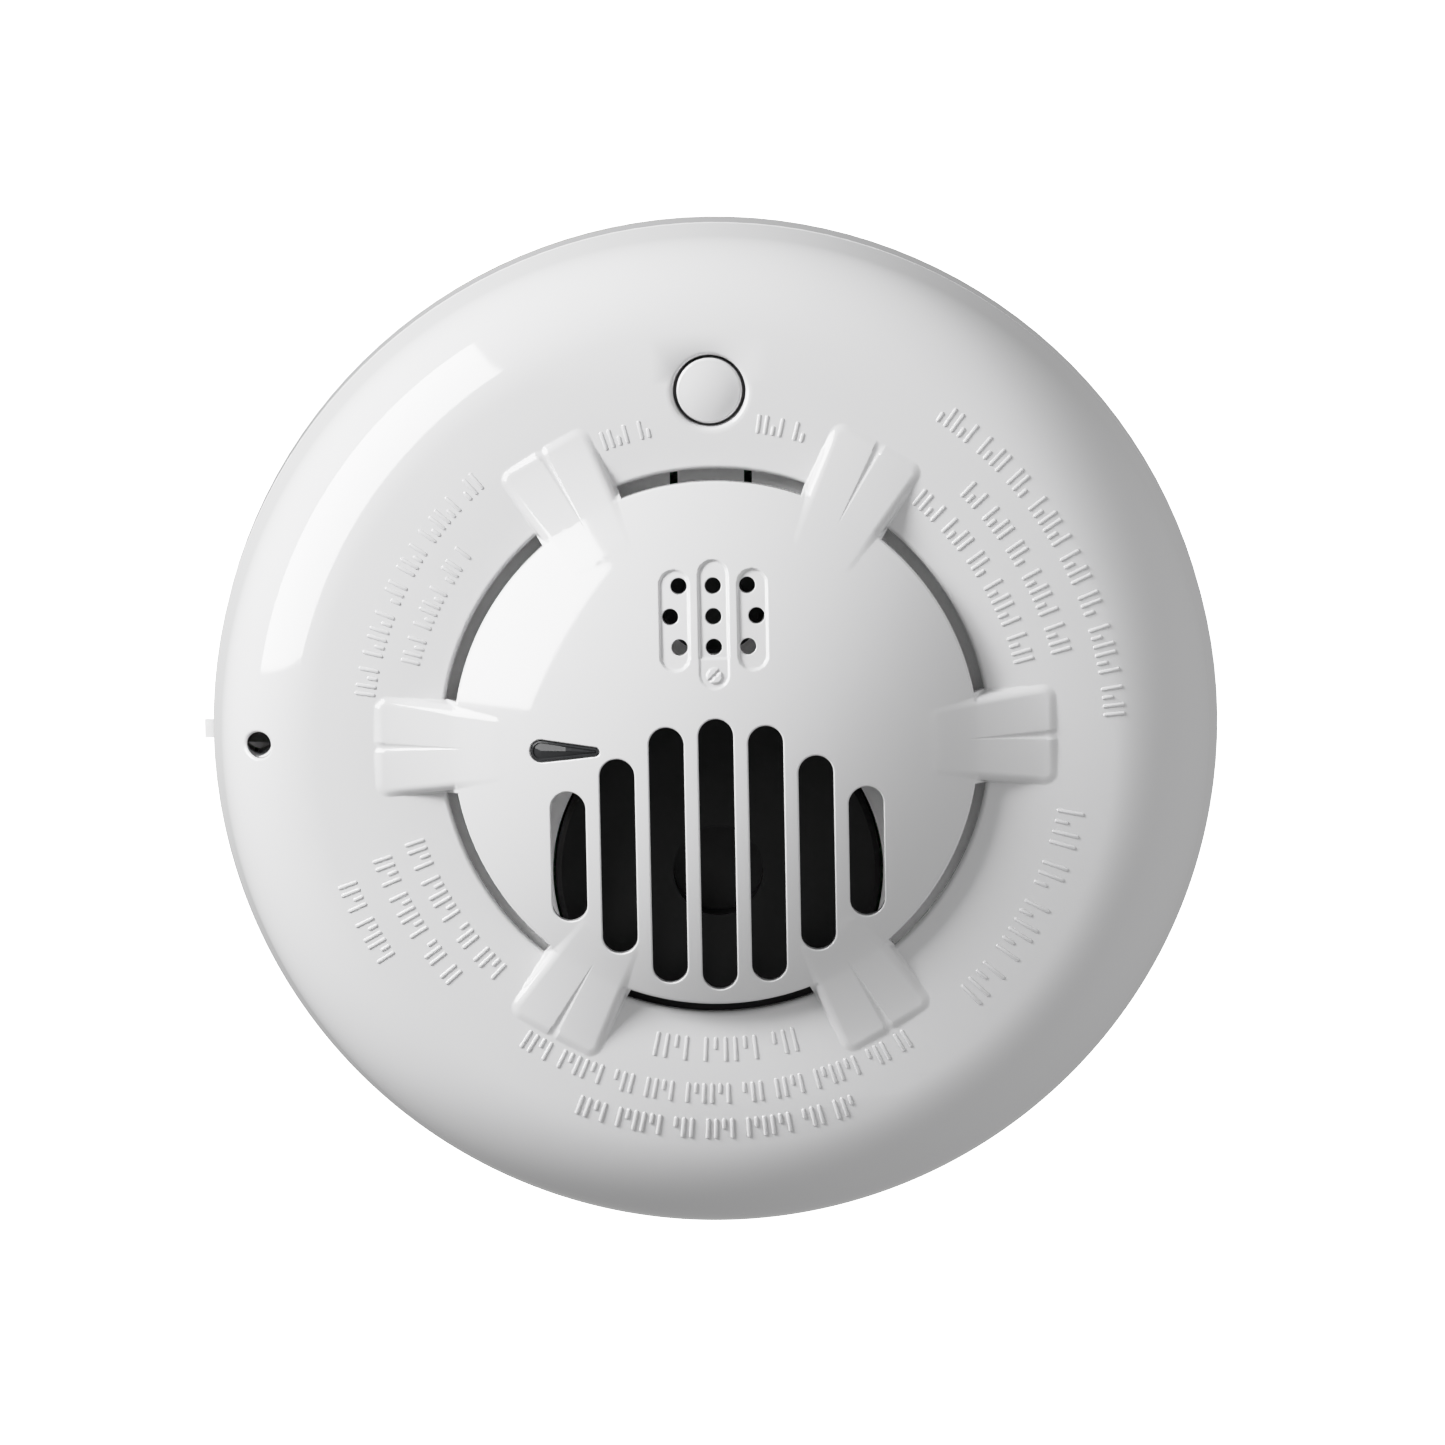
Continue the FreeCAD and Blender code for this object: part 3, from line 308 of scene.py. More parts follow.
def base_point(u, v):
    """Plain cover point and its outward direction, for a point of the unrolled plane."""
    rho = np.hypot(u, v)
    over = np.clip(rho - CREST_R, 0, SIDE_RHO - CREST_R)
    tilt = CREST_TILT + over / SHOULDER_R
    down = np.maximum(rho - SIDE_RHO, 0)
    outer_r = CREST_R + SHOULDER_R * (np.sin(tilt) - math.sin(CREST_TILT)) + down * math.cos(SIDE_TILT)
    r = np.where(over > 0, outer_r, rho)
    scale = r / np.maximum(rho, 1e-9)
    x, y = u * scale, v * scale
    inner = smooth_max(shown_z(r), arm_z(x, y), ARM_FILLET)
    z = np.where(over > 0, SHOULDER_Z + SHOULDER_R * np.cos(tilt) - down * math.sin(SIDE_TILT), inner)
    lean = np.where(over > 0, tilt, np.arctan(2 * RING_CURVE * np.maximum(r - LIP_R, 0)))
    away = np.maximum(r, 1e-9)
    direction = np.stack([np.sin(lean) * x / away, np.sin(lean) * y / away, np.cos(lean)], axis=-1)
    return np.stack([x, y, z], axis=-1), direction


def top_point(u, v):
    point, direction = base_point(u, v)
    height = feature_height(point[:, 0], point[:, 1], np.hypot(u, v))
    return point + direction * height[:, None]


def under_point(u, v):
    """The underside, square to the surface, but straight down near the release hole."""
    point, direction = base_point(u, v)
    from_pin = np.hypot(point[:, 0] - PIN_X, point[:, 1])
    straight = smooth_step((UPRIGHT_R - from_pin) / UPRIGHT_SIDE)[:, None]
    upright = np.zeros_like(direction)
    upright[:, 2] = 1 / direction[:, 2]
    return point - WALL * (direction + straight * (upright - direction))


def surface_normal(function, u, v, step=0.01):
    along_u = function(u + step, v) - function(u - step, v)
    along_v = function(u, v + step) - function(u, v - step)
    normal = np.cross(along_u, along_v)
    return normal / np.maximum(np.linalg.norm(normal, axis=1, keepdims=True), 1e-12)


# ---- points of the cover's mesh ----
# Lines that follow an edge, as shares of an opening's rim or as distances from a gap or the seam.
RIM_SHARES = (0.0, 0.06, 0.2, 0.45, 1.0)
GAP_STEPS = (0.0, 0.04, 0.15, 0.35, 0.7)
EDGE_STEPS = (0.0, 0.04, 0.15, 0.4, 1.0)
COARSE_STEP = 1.0
FINE_STEP = 0.22
FINE_R = 11
AROUND = 480


def capsule_outline(shape, grow, step=0.8):
    """Closed outline of a capsule grown by some distance, with points along its straight sides."""
    ax, ay, bx, by, a_r, b_r, _ = shape
    a_r, b_r = a_r + grow, b_r + grow
    length = math.hypot(bx - ax, by - ay)
    if length == 0:
        angles = np.linspace(0, 2 * math.pi, 48, endpoint=False)
        return np.stack([ax + a_r * np.cos(angles), ay + a_r * np.sin(angles)], axis=-1)
    heading = math.atan2(by - ay, bx - ax)
    spread = math.acos((a_r - b_r) / length)
    at_a = heading + np.linspace(spread, 2 * math.pi - spread, 25)
    at_b = heading + np.linspace(-spread, spread, 25)
    end_a = np.stack([ax + a_r * np.cos(at_a), ay + a_r * np.sin(at_a)], axis=-1)
    end_b = np.stack([bx + b_r * np.cos(at_b), by + b_r * np.sin(at_b)], axis=-1)
    share = np.linspace(0, 1, max(int(length / step), 2) + 1)[1:-1, None]
    side_one = end_a[-1] + (end_b[0] - end_a[-1]) * share
    side_two = end_b[-1] + (end_a[0] - end_b[-1]) * share
    return np.concatenate([end_a, side_one, end_b, side_two])


def gap_outline(middle, grow):
    """Closed outline of the gap centred on an angle, grown by some distance."""
    low_r, high_r = DOME_R - grow, LIP_R + grow

    def side_angle(r):
        offset = (GAP_BY_ARM - grow) / math.cos(math.atan(ARM_FLARE))
        angle = 0.15
        for _ in range(30):
            half = ARM_HALF_IN + ARM_FLARE * (r * math.cos(angle) - ARM_IN_R) + offset
            angle = math.asin(half / r)
        return ARM_STEP / 2 - angle

    def arc(r, sign):
        reach = side_angle(r)
        return middle + sign * np.linspace(-reach, reach, 56), r

    points = []
    for angles, r in (arc(low_r, 1), arc(high_r, -1)):
        points.append(np.stack([r * np.cos(angles), r * np.sin(angles)], axis=-1))
    corner_one = np.linspace(points[0][-1], points[1][0], 6)[1:-1]
    corner_two = np.linspace(points[1][-1], points[0][0], 6)[1:-1]
    return np.concatenate([points[0], corner_one, points[1], corner_two])


def arm_outline(angle, offset):
    """Open line round an arm at one distance from its outline."""
    lean = math.atan(ARM_FLARE)
    reach = ARM_CORNER + offset
    corner_out = ARM_END_R - ARM_CORNER
    corner_half = ARM_HALF_IN + ARM_FLARE * (corner_out - ARM_IN_R) - ARM_CORNER / math.cos(lean)
    turn = np.linspace(math.pi / 2 + lean, 0, 9)
    corner = np.stack([corner_out + reach * np.cos(turn), corner_half + reach * np.sin(turn)], axis=-1)
    start_out = ARM_IN_R - 1
    start_half = ARM_HALF_IN + ARM_FLARE * (start_out - ARM_IN_R) + offset / math.cos(lean)
    start = np.array([start_out, start_half])
    side = np.linspace(start, corner[0], 45)[:-1]
    across = np.linspace(corner[-1][1], 0, 16)[1:]
    end = np.stack([np.full_like(across, corner[-1][0]), across], axis=-1)
    half = np.concatenate([side, corner, end])
    other = half[::-1][1:] * np.array([1, -1])
    line = np.concatenate([half, other])
    cos, sin = math.cos(angle), math.sin(angle)
    return np.stack([line[:, 0] * cos - line[:, 1] * sin, line[:, 0] * sin + line[:, 1] * cos], axis=-1)


def crease_lines(angle):
    out = np.linspace(CREASE_IN_R, ARM_END_R + 0.2, 30)
    opening = (out - CREASE_IN_R) / (ARM_END_R - CREASE_IN_R)
    lines = []
    for share in (-1, -0.5, 0, 0.5, 1):
        across = share * CREASE_HALF * opening
        cos, sin = math.cos(angle), math.sin(angle)
        lines.append(np.stack([out * cos - across * sin, out * sin + across * cos], axis=-1))
    return lines


def circle(rho):
    angles = np.linspace(0, 2 * math.pi, AROUND, endpoint=False)
    return np.stack([rho * np.cos(angles), rho * np.sin(angles)], axis=-1)


def grid_points(step, reach):
    """A triangular grid of points."""
    count = int(reach / step) + 1
    rows = np.arange(-count, count + 1)
    u, v = np.meshgrid(rows * step, rows * step * math.sqrt(3) / 2)
    u = u + (rows % 2)[:, None] * step / 2
    return np.stack([u.ravel(), v.ravel()], axis=-1)


def polar_points():
    return np.concatenate([circle(rho) for rho in np.linspace(CREST_R + 1.5, EDGE_RHO - 2.0, 34)])


def feature_distance(x, y):
    """Distance to the nearest outline of an opening or gap."""
    nearest = np.abs(gap_distance(x, y))
    for shape in OPENINGS:
        nearest = np.minimum(nearest, np.abs(capsule_distance(x, y, shape)))
    return nearest


def by_pockets(points):
    return np.hypot(points[:, 0], points[:, 1] - POCKET_Y[0]) < FINE_R


def by_button(points, margin):
    return np.hypot(points[:, 0], points[:, 1] - BUTTON_Y) < DISH_R + margin


def scattered_points():
    """Loose points: fine by the pockets and the button, coarse elsewhere, in rings on the shoulder."""
    coarse = grid_points(COARSE_STEP, CREST_R + 1)
    fine = grid_points(FINE_STEP, CREST_R + 1)
    coarse_r, fine_r = np.hypot(*coarse.T), np.hypot(*fine.T)
    fine = fine[(by_pockets(fine) | by_button(fine, 0.6)) & (fine_r < CREST_R + 0.8)]
    coarse = coarse[~by_pockets(coarse) & (coarse_r < CREST_R + 0.8)]
    points = np.concatenate([coarse, fine, polar_points()])
    x, y = points.T
    rho = np.hypot(x, y)
    real, _ = base_point(x, y)
    clear = feature_distance(real[:, 0], real[:, 1]) > 0.1
    on_arm = np.abs(arm_distance(*arm_place(x, y))) < 1.9
    return points[clear & ~(on_arm & (rho < CREST_R) & (rho > ARM_IN_R) & ~by_button(points, 1))]


def cover_plan():
    """Every point and fixed line of the cover's mesh, in the unrolled plane."""
    points, edges, count = [], [], 0

    def add(line, closed):
        nonlocal count
        number = len(line)
        points.append(line)
        last = number if closed else number - 1
        edges.extend((count + i, count + (i + 1) % number) for i in range(last))
        count += number

    for shape in OPENINGS:
        for share in RIM_SHARES:
            add(np.stack(unroll(*capsule_outline(shape, share * shape[-1]).T), axis=-1), True)
    for number in range(6):
        angle = number * ARM_STEP
        for grow in GAP_STEPS:
            add(gap_outline(angle + ARM_STEP / 2, grow), True)
        for offset in np.linspace(-1.6, 1.6, 19):
            add(arm_outline(angle, offset), False)
        for line in crease_lines(angle):
            add(line, False)
    for inward in EDGE_STEPS:
        add(circle(EDGE_RHO - inward), True)
    points.append(scattered_points())
    return np.concatenate(points), edges


def cover_triangles():
    plan, edges = cover_plan()
    vectors = [Vector(point) for point in plan.tolist()]
    made = delaunay_2d_cdt(vectors, edges, [], 0, 1e-4, False)
    points = np.array([tuple(point) for point in made[0]])
    triangles = np.array([face for face in made[2] if len(face) == 3])
    centre = points[triangles].mean(axis=1)
    real, _ = base_point(centre[:, 0], centre[:, 1])
    x, y = real[:, 0], real[:, 1]
    keep = (np.hypot(*centre.T) < EDGE_RHO) & (gap_distance(x, y) > 0)
    for shape in OPENINGS:
        keep &= capsule_distance(x, y, shape) > 0
    triangles = triangles[keep]
    a, b, c = (points[triangles[:, i]] for i in range(3))
    area = (b[:, 0] - a[:, 0]) * (c[:, 1] - a[:, 1]) - (b[:, 1] - a[:, 1]) * (c[:, 0] - a[:, 0])
    triangles[area < 0] = triangles[area < 0][:, ::-1]
    used = np.unique(triangles)
    renumber = np.zeros(len(points), int)
    renumber[used] = np.arange(len(used))
    return points[used], renumber[triangles]


def boundary_edges(triangles):
    """Edges that belong to one triangle only, in that triangle's direction."""
    every = np.concatenate([triangles[:, [0, 1]], triangles[:, [1, 2]], triangles[:, [2, 0]]])
    keys = np.sort(every, axis=1)
    _, first, counts = np.unique(keys, axis=0, return_index=True, return_counts=True)
    return every[first[counts == 1]]


def mesh_object(name, points, faces, normals=None):
    """A mesh object in metres from points in millimetres, with a normal for each face corner if given."""
    mesh = bpy.data.meshes.new(name)
    mesh.from_pydata((np.asarray(points) * MM).tolist(), [], [tuple(face) for face in faces])
    mesh.polygons.foreach_set("use_smooth", [True] * len(mesh.polygons))
    mesh.update()
    if normals is not None:
        mesh.normals_split_custom_set(np.asarray(normals).tolist())
    made = bpy.data.objects.new(name, mesh)
    bpy.context.scene.collection.objects.link(made)
    return made


def front_cover():
    """Dome, arms and ring in one skin, with its inner face and the walls of every opening."""
    plan, triangles = cover_triangles()
    u, v = plan.T
    top, under = top_point(u, v), under_point(u, v)
    count = len(plan)
    rim = boundary_edges(triangles)
    walls = np.stack([rim[:, 1], rim[:, 0], rim[:, 0] + count, rim[:, 1] + count], axis=-1)
    points = np.concatenate([top, under])
    side = np.cross(points[walls[:, 1]] - points[walls[:, 0]], points[walls[:, 3]] - points[walls[:, 0]])
    side = side / np.maximum(np.linalg.norm(side, axis=1, keepdims=True), 1e-12)
    corner = np.zeros((count, 3))
    for end in (0, 1):
        np.add.at(corner, rim[:, end], side)
    corner = corner / np.maximum(np.linalg.norm(corner, axis=1, keepdims=True), 1e-12)
    top_normal = surface_normal(top_point, u, v)
    under_normal = -surface_normal(under_point, u, v)
    normals = np.concatenate([
        top_normal[triangles].reshape(-1, 3),
        under_normal[triangles[:, ::-1]].reshape(-1, 3),
        corner[walls % count].reshape(-1, 3),
    ])
    faces = triangles.tolist() + (triangles[:, ::-1] + count).tolist() + walls.tolist()
    return mesh_object("cover_shell", points, faces, normals)


# ---- raised marks, window and hidden posts ----
# Rows of marks: distance from the axis, first and last angle, and the marks' height.
MARK_ROWS = (
    (45.0, 110, 100, 2.6), (45.0, 82, 72, 2.6),
    (49.6, 172, 129, 2.8), (44.2, 165, 141, 2.6),
    (44.6, 197, 227, 2.8), (49.7, 198, 222, 2.8), (55.6, 200, 215, 2.8),
    (43.6, 257, 286, 3.4), (49.9, 236, 303, 2.8), (55.0, 248, 291, 2.8),
    (50.8, 313, 349, 3.8),
    (44.6, 13, 50, 2.8), (50.0, 13, 45, 2.8), (56.0, 2, 56, 3.0),
)
MARK_PITCH = 1.15
MARK_WIDE = 0.4
MARK_RISE = 0.16
# Outlines of a bar from its foot up: how much wider than the bar, and the share of its rise.
MARK_LEVELS = ((0.1, -0.15), (0.06, 0.3), (0.0, 0.75), (-0.08, 1.0))
# Lengths of the bars in a row, over and over, as shares of the row's height.
MARK_PATTERN = (1, 1, 0.5, 1, 0, 1, 0.5, 1, 1, 0.5, 1, 0, 0.5, 1, 1, 0)


def band(one, two, count):
    """Faces between two closed rings of points that start at these numbers."""
    return [(one + i, one + (i + 1) % count, two + (i + 1) % count, two + i) for i in range(count)]


def bar_plan():
    """Places and sizes of all marks: distance out, angle, length across and length outward."""
    bars = []
    for row_r, first, last, tall in MARK_ROWS:
        sign = 1 if last > first else -1
        pitch = MARK_PITCH * tall / 2.8
        length = math.radians(abs(last - first)) * row_r
        for step in range(int(length / pitch)):
            angle = math.radians(first) + sign * (step + 0.5) * pitch / row_r
            share = MARK_PATTERN[step % len(MARK_PATTERN)]
            if share:
                bars.append((row_r - (1 - share) * tall / 2, angle, MARK_WIDE, share * tall))
    return bars


def rounded_outline(wide, tall, count=5):
    """Outline of a bar with fully rounded corners, as offsets across and outward."""
    radius = min(wide, tall) / 2
    points = []
    for number, (side, up) in enumerate(((1, 1), (-1, 1), (-1, -1), (1, -1))):
        for turn in np.linspace(number * math.pi / 2, (number + 1) * math.pi / 2, count):
            points.append((side * (wide / 2 - radius) + radius * math.cos(turn),
                           up * (tall / 2 - radius) + radius * math.sin(turn)))
    return np.array(points)


def raised_marks():
    """Low rounded bars moulded on the ring, in rows, without any meaning."""
    points, faces = [], []
    for row_r, angle, wide, tall in bar_plan():
        rho = float(to_rho(np.float64(row_r)))
        start = len(points)
        for grow, rise in MARK_LEVELS:
            outline = rounded_outline(wide + 2 * grow, tall + 2 * grow)
            out = rho + outline[:, 1]
            turn = angle + outline[:, 0] / row_r
            base, direction = base_point(out * np.cos(turn), out * np.sin(turn))
            points.extend((base + direction * rise * MARK_RISE).tolist())
        count = len(outline)
        for level in range(len(MARK_LEVELS) - 1):
            faces.extend(band(start + (level + 1) * count, start + level * count, count))
        last = start + (len(MARK_LEVELS) - 1) * count
        faces.append(tuple(range(last, last + count))[::-1])
        faces.append(tuple(range(start, start + count)))
    return mesh_object("raised_marks", points, faces)


def skin_z(x, y, depth):
    """Height of the cover some share of its wall below the surface, straight down from a place on it."""
    base, direction = base_point(*unroll(x, y))
    return base[:, 2] - depth * WALL / direction[:, 2]


def cover_posts():
    """The tubes under the skin: four screw bosses, the button's collar and the release hole's guide."""
    tubes = []
    for angle in np.radians(BOSS_ANGLES):
        tubes.append((BOSS_RING_R * math.cos(angle), BOSS_RING_R * math.sin(angle), *BOSS_TUBE))
    tubes.append((0, BUTTON_Y, *COLLAR_TUBE))
    tubes.append((PIN_X, 0, *GUIDE_TUBE))
    points, faces = [], []
    sides = 64
    turn = np.linspace(0, 2 * math.pi, sides, endpoint=False)
    for x, y, outer_r, inner_r, low in tubes:
        start = len(points)
        for radius, top in ((inner_r, False), (outer_r, False), (outer_r, True), (inner_r, True)):
            px, py = x + radius * np.cos(turn), y + radius * np.sin(turn)
            z = skin_z(px, py, POST_DEPTH) if top else np.full_like(px, low)
            points.extend(np.stack([px, py, z], axis=-1).tolist())
        for ring in range(4):
            faces.extend(band(start + ring * sides, start + (ring + 1) % 4 * sides, sides))
    return mesh_object("cover_posts", points, faces)


def window_lens():
    """The status window: a teardrop with a bevelled border and a roof-like ridge, on a round rod."""
    shape = (WINDOW_BIG[0], 0, WINDOW_SMALL[0], 0, WINDOW_BIG[1], WINDOW_SMALL[1], 0)
    count = len(capsule_outline(shape, 0))
    rings = []
    for grow, rise in WINDOW_RINGS:
        outline = capsule_outline(shape, grow)
        rings.append(np.stack([*outline.T, shown_z(np.hypot(*outline.T)) + rise], axis=-1))
    inner = rings[-1]
    ridge_x = np.clip(inner[:, 0], WINDOW_BIG[0], WINDOW_SMALL[0])
    ridge_z = shown_z(np.abs(ridge_x)) - WINDOW_RIDGE_DEPTH
    rings.append(np.stack([ridge_x, inner[:, 1] * WINDOW_RIDGE_SHARE, ridge_z], axis=-1))
    turn = np.arctan2(rings[0][:, 1], rings[0][:, 0] - ROD_X)
    rod_x, rod_y = ROD_X + ROD_R * np.cos(turn), ROD_R * np.sin(turn)
    rod = [np.stack([rod_x, rod_y, np.full_like(turn, z)], axis=-1) for z in ROD_ENDS]
    rings = rod + rings
    points = np.concatenate(rings)
    faces = []
    for ring in range(len(rings) - 1):
        faces.extend(band(ring * count, (ring + 1) * count, count))
    faces.append(tuple(range(count))[::-1])
    faces.append(tuple(range((len(rings) - 1) * count, len(rings) * count)))
    lens = mesh_object("window_lens", points, faces)
    lens.data.polygons.foreach_set("use_smooth", [False] * len(lens.data.polygons))
    return lens


# ---- materials ----
def new_material(name, color, roughness, metallic=0.0):
    """A node material with its shader's plain values set. Returns the material and its shader."""
    material = bpy.data.materials.new(name)
    material.use_nodes = True
    shader = material.node_tree.nodes["Principled BSDF"]
    shader.inputs["Base Color"].default_value = (*color, 1)
    shader.inputs["Roughness"].default_value = roughness
    shader.inputs["Metallic"].default_value = metallic
    return material, shader


def link(material, source, target):
    material.node_tree.links.new(source, target)


def place_texture(material, stretch=(1, 1, 1)):
    """Object coordinates, stretched by a mapping node."""
    nodes = material.node_tree.nodes
    where = nodes.new("ShaderNodeTexCoord")
    mapping = nodes.new("ShaderNodeMapping")
    mapping.inputs["Scale"].default_value = stretch
    link(material, where.outputs["Object"], mapping.inputs["Vector"])
    return mapping.outputs["Vector"]


def noise(material, place, scale, detail=4.0, rough=0.55):
    texture = material.node_tree.nodes.new("ShaderNodeTexNoise")
    texture.inputs["Scale"].default_value = scale
    texture.inputs["Detail"].default_value = detail
    texture.inputs["Roughness"].default_value = rough
    link(material, place, texture.inputs["Vector"])
    return texture.outputs["Fac"]


def spread(material, value, low, high, from_low=0.3, from_high=0.7):
    """A value moved from one range to another."""
    node = material.node_tree.nodes.new("ShaderNodeMapRange")
    limits = {"From Min": from_low, "From Max": from_high, "To Min": low, "To Max": high}
    for name, number in limits.items():
        node.inputs[name].default_value = number
    link(material, value, node.inputs["Value"])
    return node.outputs["Result"]


def tint(material, value, dark, light):
    """A colour between two, chosen by a value."""
    node = material.node_tree.nodes.new("ShaderNodeMix")
    node.data_type = "RGBA"
    node.inputs["A"].default_value = (*dark, 1)
    node.inputs["B"].default_value = (*light, 1)
    link(material, value, node.inputs["Factor"])
    return node.outputs["Result"]


def bump(material, shader, height, strength, distance):
    node = material.node_tree.nodes.new("ShaderNodeBump")
    node.inputs["Strength"].default_value = strength
    node.inputs["Distance"].default_value = distance
    link(material, height, node.inputs["Height"])
    link(material, node.outputs["Normal"], shader.inputs["Normal"])


def moulded(name, color, roughness, vary=0.015, grain=2600.0, grain_depth=0.000006, strength=0.25):
    """Moulded plastic: a faint cloud in the colour, a patchy gloss and a fine grain."""
    material, shader = new_material(name, color, roughness)
    place = place_texture(material)
    cloud = spread(material, noise(material, place, 45.0, 3.0), 0, 1)
    dark = [channel * (1 - vary) for channel in color]
    light = [min(channel * (1 + vary), 1) for channel in color]
    link(material, tint(material, cloud, dark, light), shader.inputs["Base Color"])
    patch = spread(material, noise(material, place, 160.0, 5.0), roughness * 0.85, roughness * 1.2)
    link(material, patch, shader.inputs["Roughness"])
    bump(material, shader, noise(material, place, grain, 6.0), strength, grain_depth)
    return material, shader


def metal(name, color, roughness, stretch):
    """Rolled or plated metal: fine drawn lines in the gloss and the surface, and faint dulling."""
    material, shader = new_material(name, color, roughness, 1.0)
    lines = noise(material, place_texture(material, stretch), 300.0, 6.0, 0.7)
    place = place_texture(material)
    dull = spread(material, noise(material, place, 220.0, 5.0), 0, 1, 0.35, 0.75)
    dark = [channel * 0.72 for channel in color]
    link(material, tint(material, dull, color, dark), shader.inputs["Base Color"])
    link(material, spread(material, lines, roughness * 0.7, roughness * 1.5), shader.inputs["Roughness"])
    bump(material, shader, lines, 0.3, 0.00001)
    return material, shader


def white_case():
    return moulded("white_case", (0.74, 0.74, 0.745), 0.06, 0.006, 2600.0, 0.000002, 0.2)[0]


# White plastic made lighter than the case's white as painted light, so the deck seen in shade through the
# gaps and holes looks lit.
def white_inner():
    return moulded("white_inner", (0.92, 0.92, 0.92), 0.34)[0]


def black_plastic():
    material, shader = moulded("black_plastic", (0.003, 0.003, 0.0032), 0.5, 0.1)
    shader.inputs["Specular IOR Level"].default_value = 0.3
    return material


def sounder_black():
    """The sounder disc, a little paler than the plastic round it."""
    return moulded("sounder_black", (0.011, 0.011, 0.0115), 0.5, 0.1)[0]


def capacitor_sleeve():
    return moulded("capacitor_sleeve", (0.03, 0.05, 0.12), 0.32, 0.08)[0]


def relay_case():
    return moulded("relay_case", (0.05, 0.16, 0.35), 0.25, 0.05)[0]


def ferrite():
    return moulded("ferrite", (0.08, 0.08, 0.08), 0.6, 0.2, 1800.0, 0.00003, 0.5)[0]


def board_laminate():
    """Green solder mask with glass weave and slightly raised copper underneath."""
    material, shader = new_material("board_laminate", (0.05, 0.22, 0.1), 0.3)
    place = place_texture(material)
    weave = material.node_tree.nodes.new("ShaderNodeTexChecker")
    weave.inputs["Scale"].default_value = 1700.0
    link(material, place, weave.inputs["Vector"])
    tracks = spread(material, noise(material, place, 420.0, 0.0), 0, 1, 0.52, 0.54)
    green = tint(material, tracks, (0.03, 0.16, 0.07), (0.07, 0.27, 0.12))
    link(material, green, shader.inputs["Base Color"])
    link(material, spread(material, weave.outputs["Fac"], 0.26, 0.38, 0, 1), shader.inputs["Roughness"])
    bump(material, shader, tracks, 0.4, 0.00003)
    return material


def smoked_lens():
    material, shader = moulded("smoked_lens", (0.035, 0.036, 0.038), 0.09, 0.1, 900.0, 0.000002, 0.15)
    shader.inputs["Specular IOR Level"].default_value = 0.2
    return material


def lamp_resin():
    material, shader = moulded("lamp_resin", (0.9, 0.9, 0.88), 0.12, 0.02)
    shader.inputs["Transmission Weight"].default_value = 0.6
    return material


def brass():
    return metal("brass", (0.83, 0.62, 0.3), 0.28, (1, 12, 1))[0]


def steel():
    return metal("steel", (0.62, 0.62, 0.63), 0.32, (14, 1, 1))[0]


def filter_felt():
    """Pressed fibres: a tangle of fine light and dark threads."""
    material, shader = new_material("filter_felt", (0.04, 0.04, 0.04), 0.9)
    fibres = noise(material, place_texture(material, (1, 5, 1)), 1500.0, 8.0, 0.75)
    threads = tint(material, fibres, (0.012, 0.012, 0.012), (0.06, 0.06, 0.06))
    link(material, threads, shader.inputs["Base Color"])
    link(material, spread(material, fibres, 0.8, 1.0), shader.inputs["Roughness"])
    shader.inputs["Sheen Weight"].default_value = 0.3
    bump(material, shader, fibres, 0.8, 0.0001)
    return material


def switch_plunger():
    return moulded("switch_plunger", (0.45, 0.05, 0.04), 0.4, 0.05)[0]


MATERIALS = {
    "white_case": white_case(),
    "white_inner": white_inner(),
    "black_plastic": black_plastic(),
    "sounder_black": sounder_black(),
    "capacitor_sleeve": capacitor_sleeve(),
    "relay_case": relay_case(),
    "ferrite": ferrite(),
    "board_laminate": board_laminate(),
    "smoked_lens": smoked_lens(),
    "lamp_resin": lamp_resin(),
    "brass": brass(),
    "steel": steel(),
    "filter_felt": filter_felt(),
    "switch_plunger": switch_plunger(),
}

NODE_FINISH = {
    "white_case": ["mounting_base", "test_button", "front_cover", "rear_housing"],
    "white_inner": ["lock_arm", "inner_deck"],
    "black_plastic": ["microcontroller", "horn_housing", "horn_base", "gas_sensor_cap", "switch_body"],
    "sounder_black": ["piezo_disc"],
    "capacitor_sleeve": ["power_capacitors"],
    "relay_case": ["relay"],
    "ferrite": ["horn_coil"],
    "board_laminate": ["circuit_board"],
    "smoked_lens": ["light_pipe"],
    "lamp_resin": ["status_led"],
    "brass": ["horn_pins"] + ["%s_contact_%d" % (side, number)
              for side in ("terminal", "head") for number in (1, 2, 3, 4)],
    "steel": ["lock_pivot_pin", "lock_spring", "terminal_screws", "terminal_clamps", "cover_screws",
              "board_screws", "button_spring", "gas_sensor_can"],
    "filter_felt": ["sensor_filter"],
    "switch_plunger": ["switch_plunger"],
}


def paint(piece, material):
    piece.data.materials.clear()
    piece.data.materials.append(material)


def paint_nodes():
    for slot, names in NODE_FINISH.items():
        for name in names:
            paint(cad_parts[name], MATERIALS[slot])


def add_piece(piece, body, slot, *stands_for):
    """Gives a new piece its finish and its body, and hides the CAD nodes it stands for."""
    paint(piece, MATERIALS[slot])
    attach(piece, body)
    if stands_for:
        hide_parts(*stands_for)


# ---- camera, light and floor ----
CAMERA_AWAY = 2.5
CAMERA_TILT = math.radians(6.5)
CAMERA_ROLL = math.radians(-1.08)
FRAME_WIDE = 0.2043
# The frame's width is measured at this height above the floor.
FRAME_Z = 0.011
AIM = Vector((0.00099, -0.00122, 0))
# Light that shows as pure white, and pairs of light and what it shows as.
BRIGHTEST = 2.4
ROLL_OFF = ((0.25, 0.25), (0.5, 0.5), (0.7, 0.675), (0.95, 0.79), (1.2, 0.87), (1.6, 0.95))


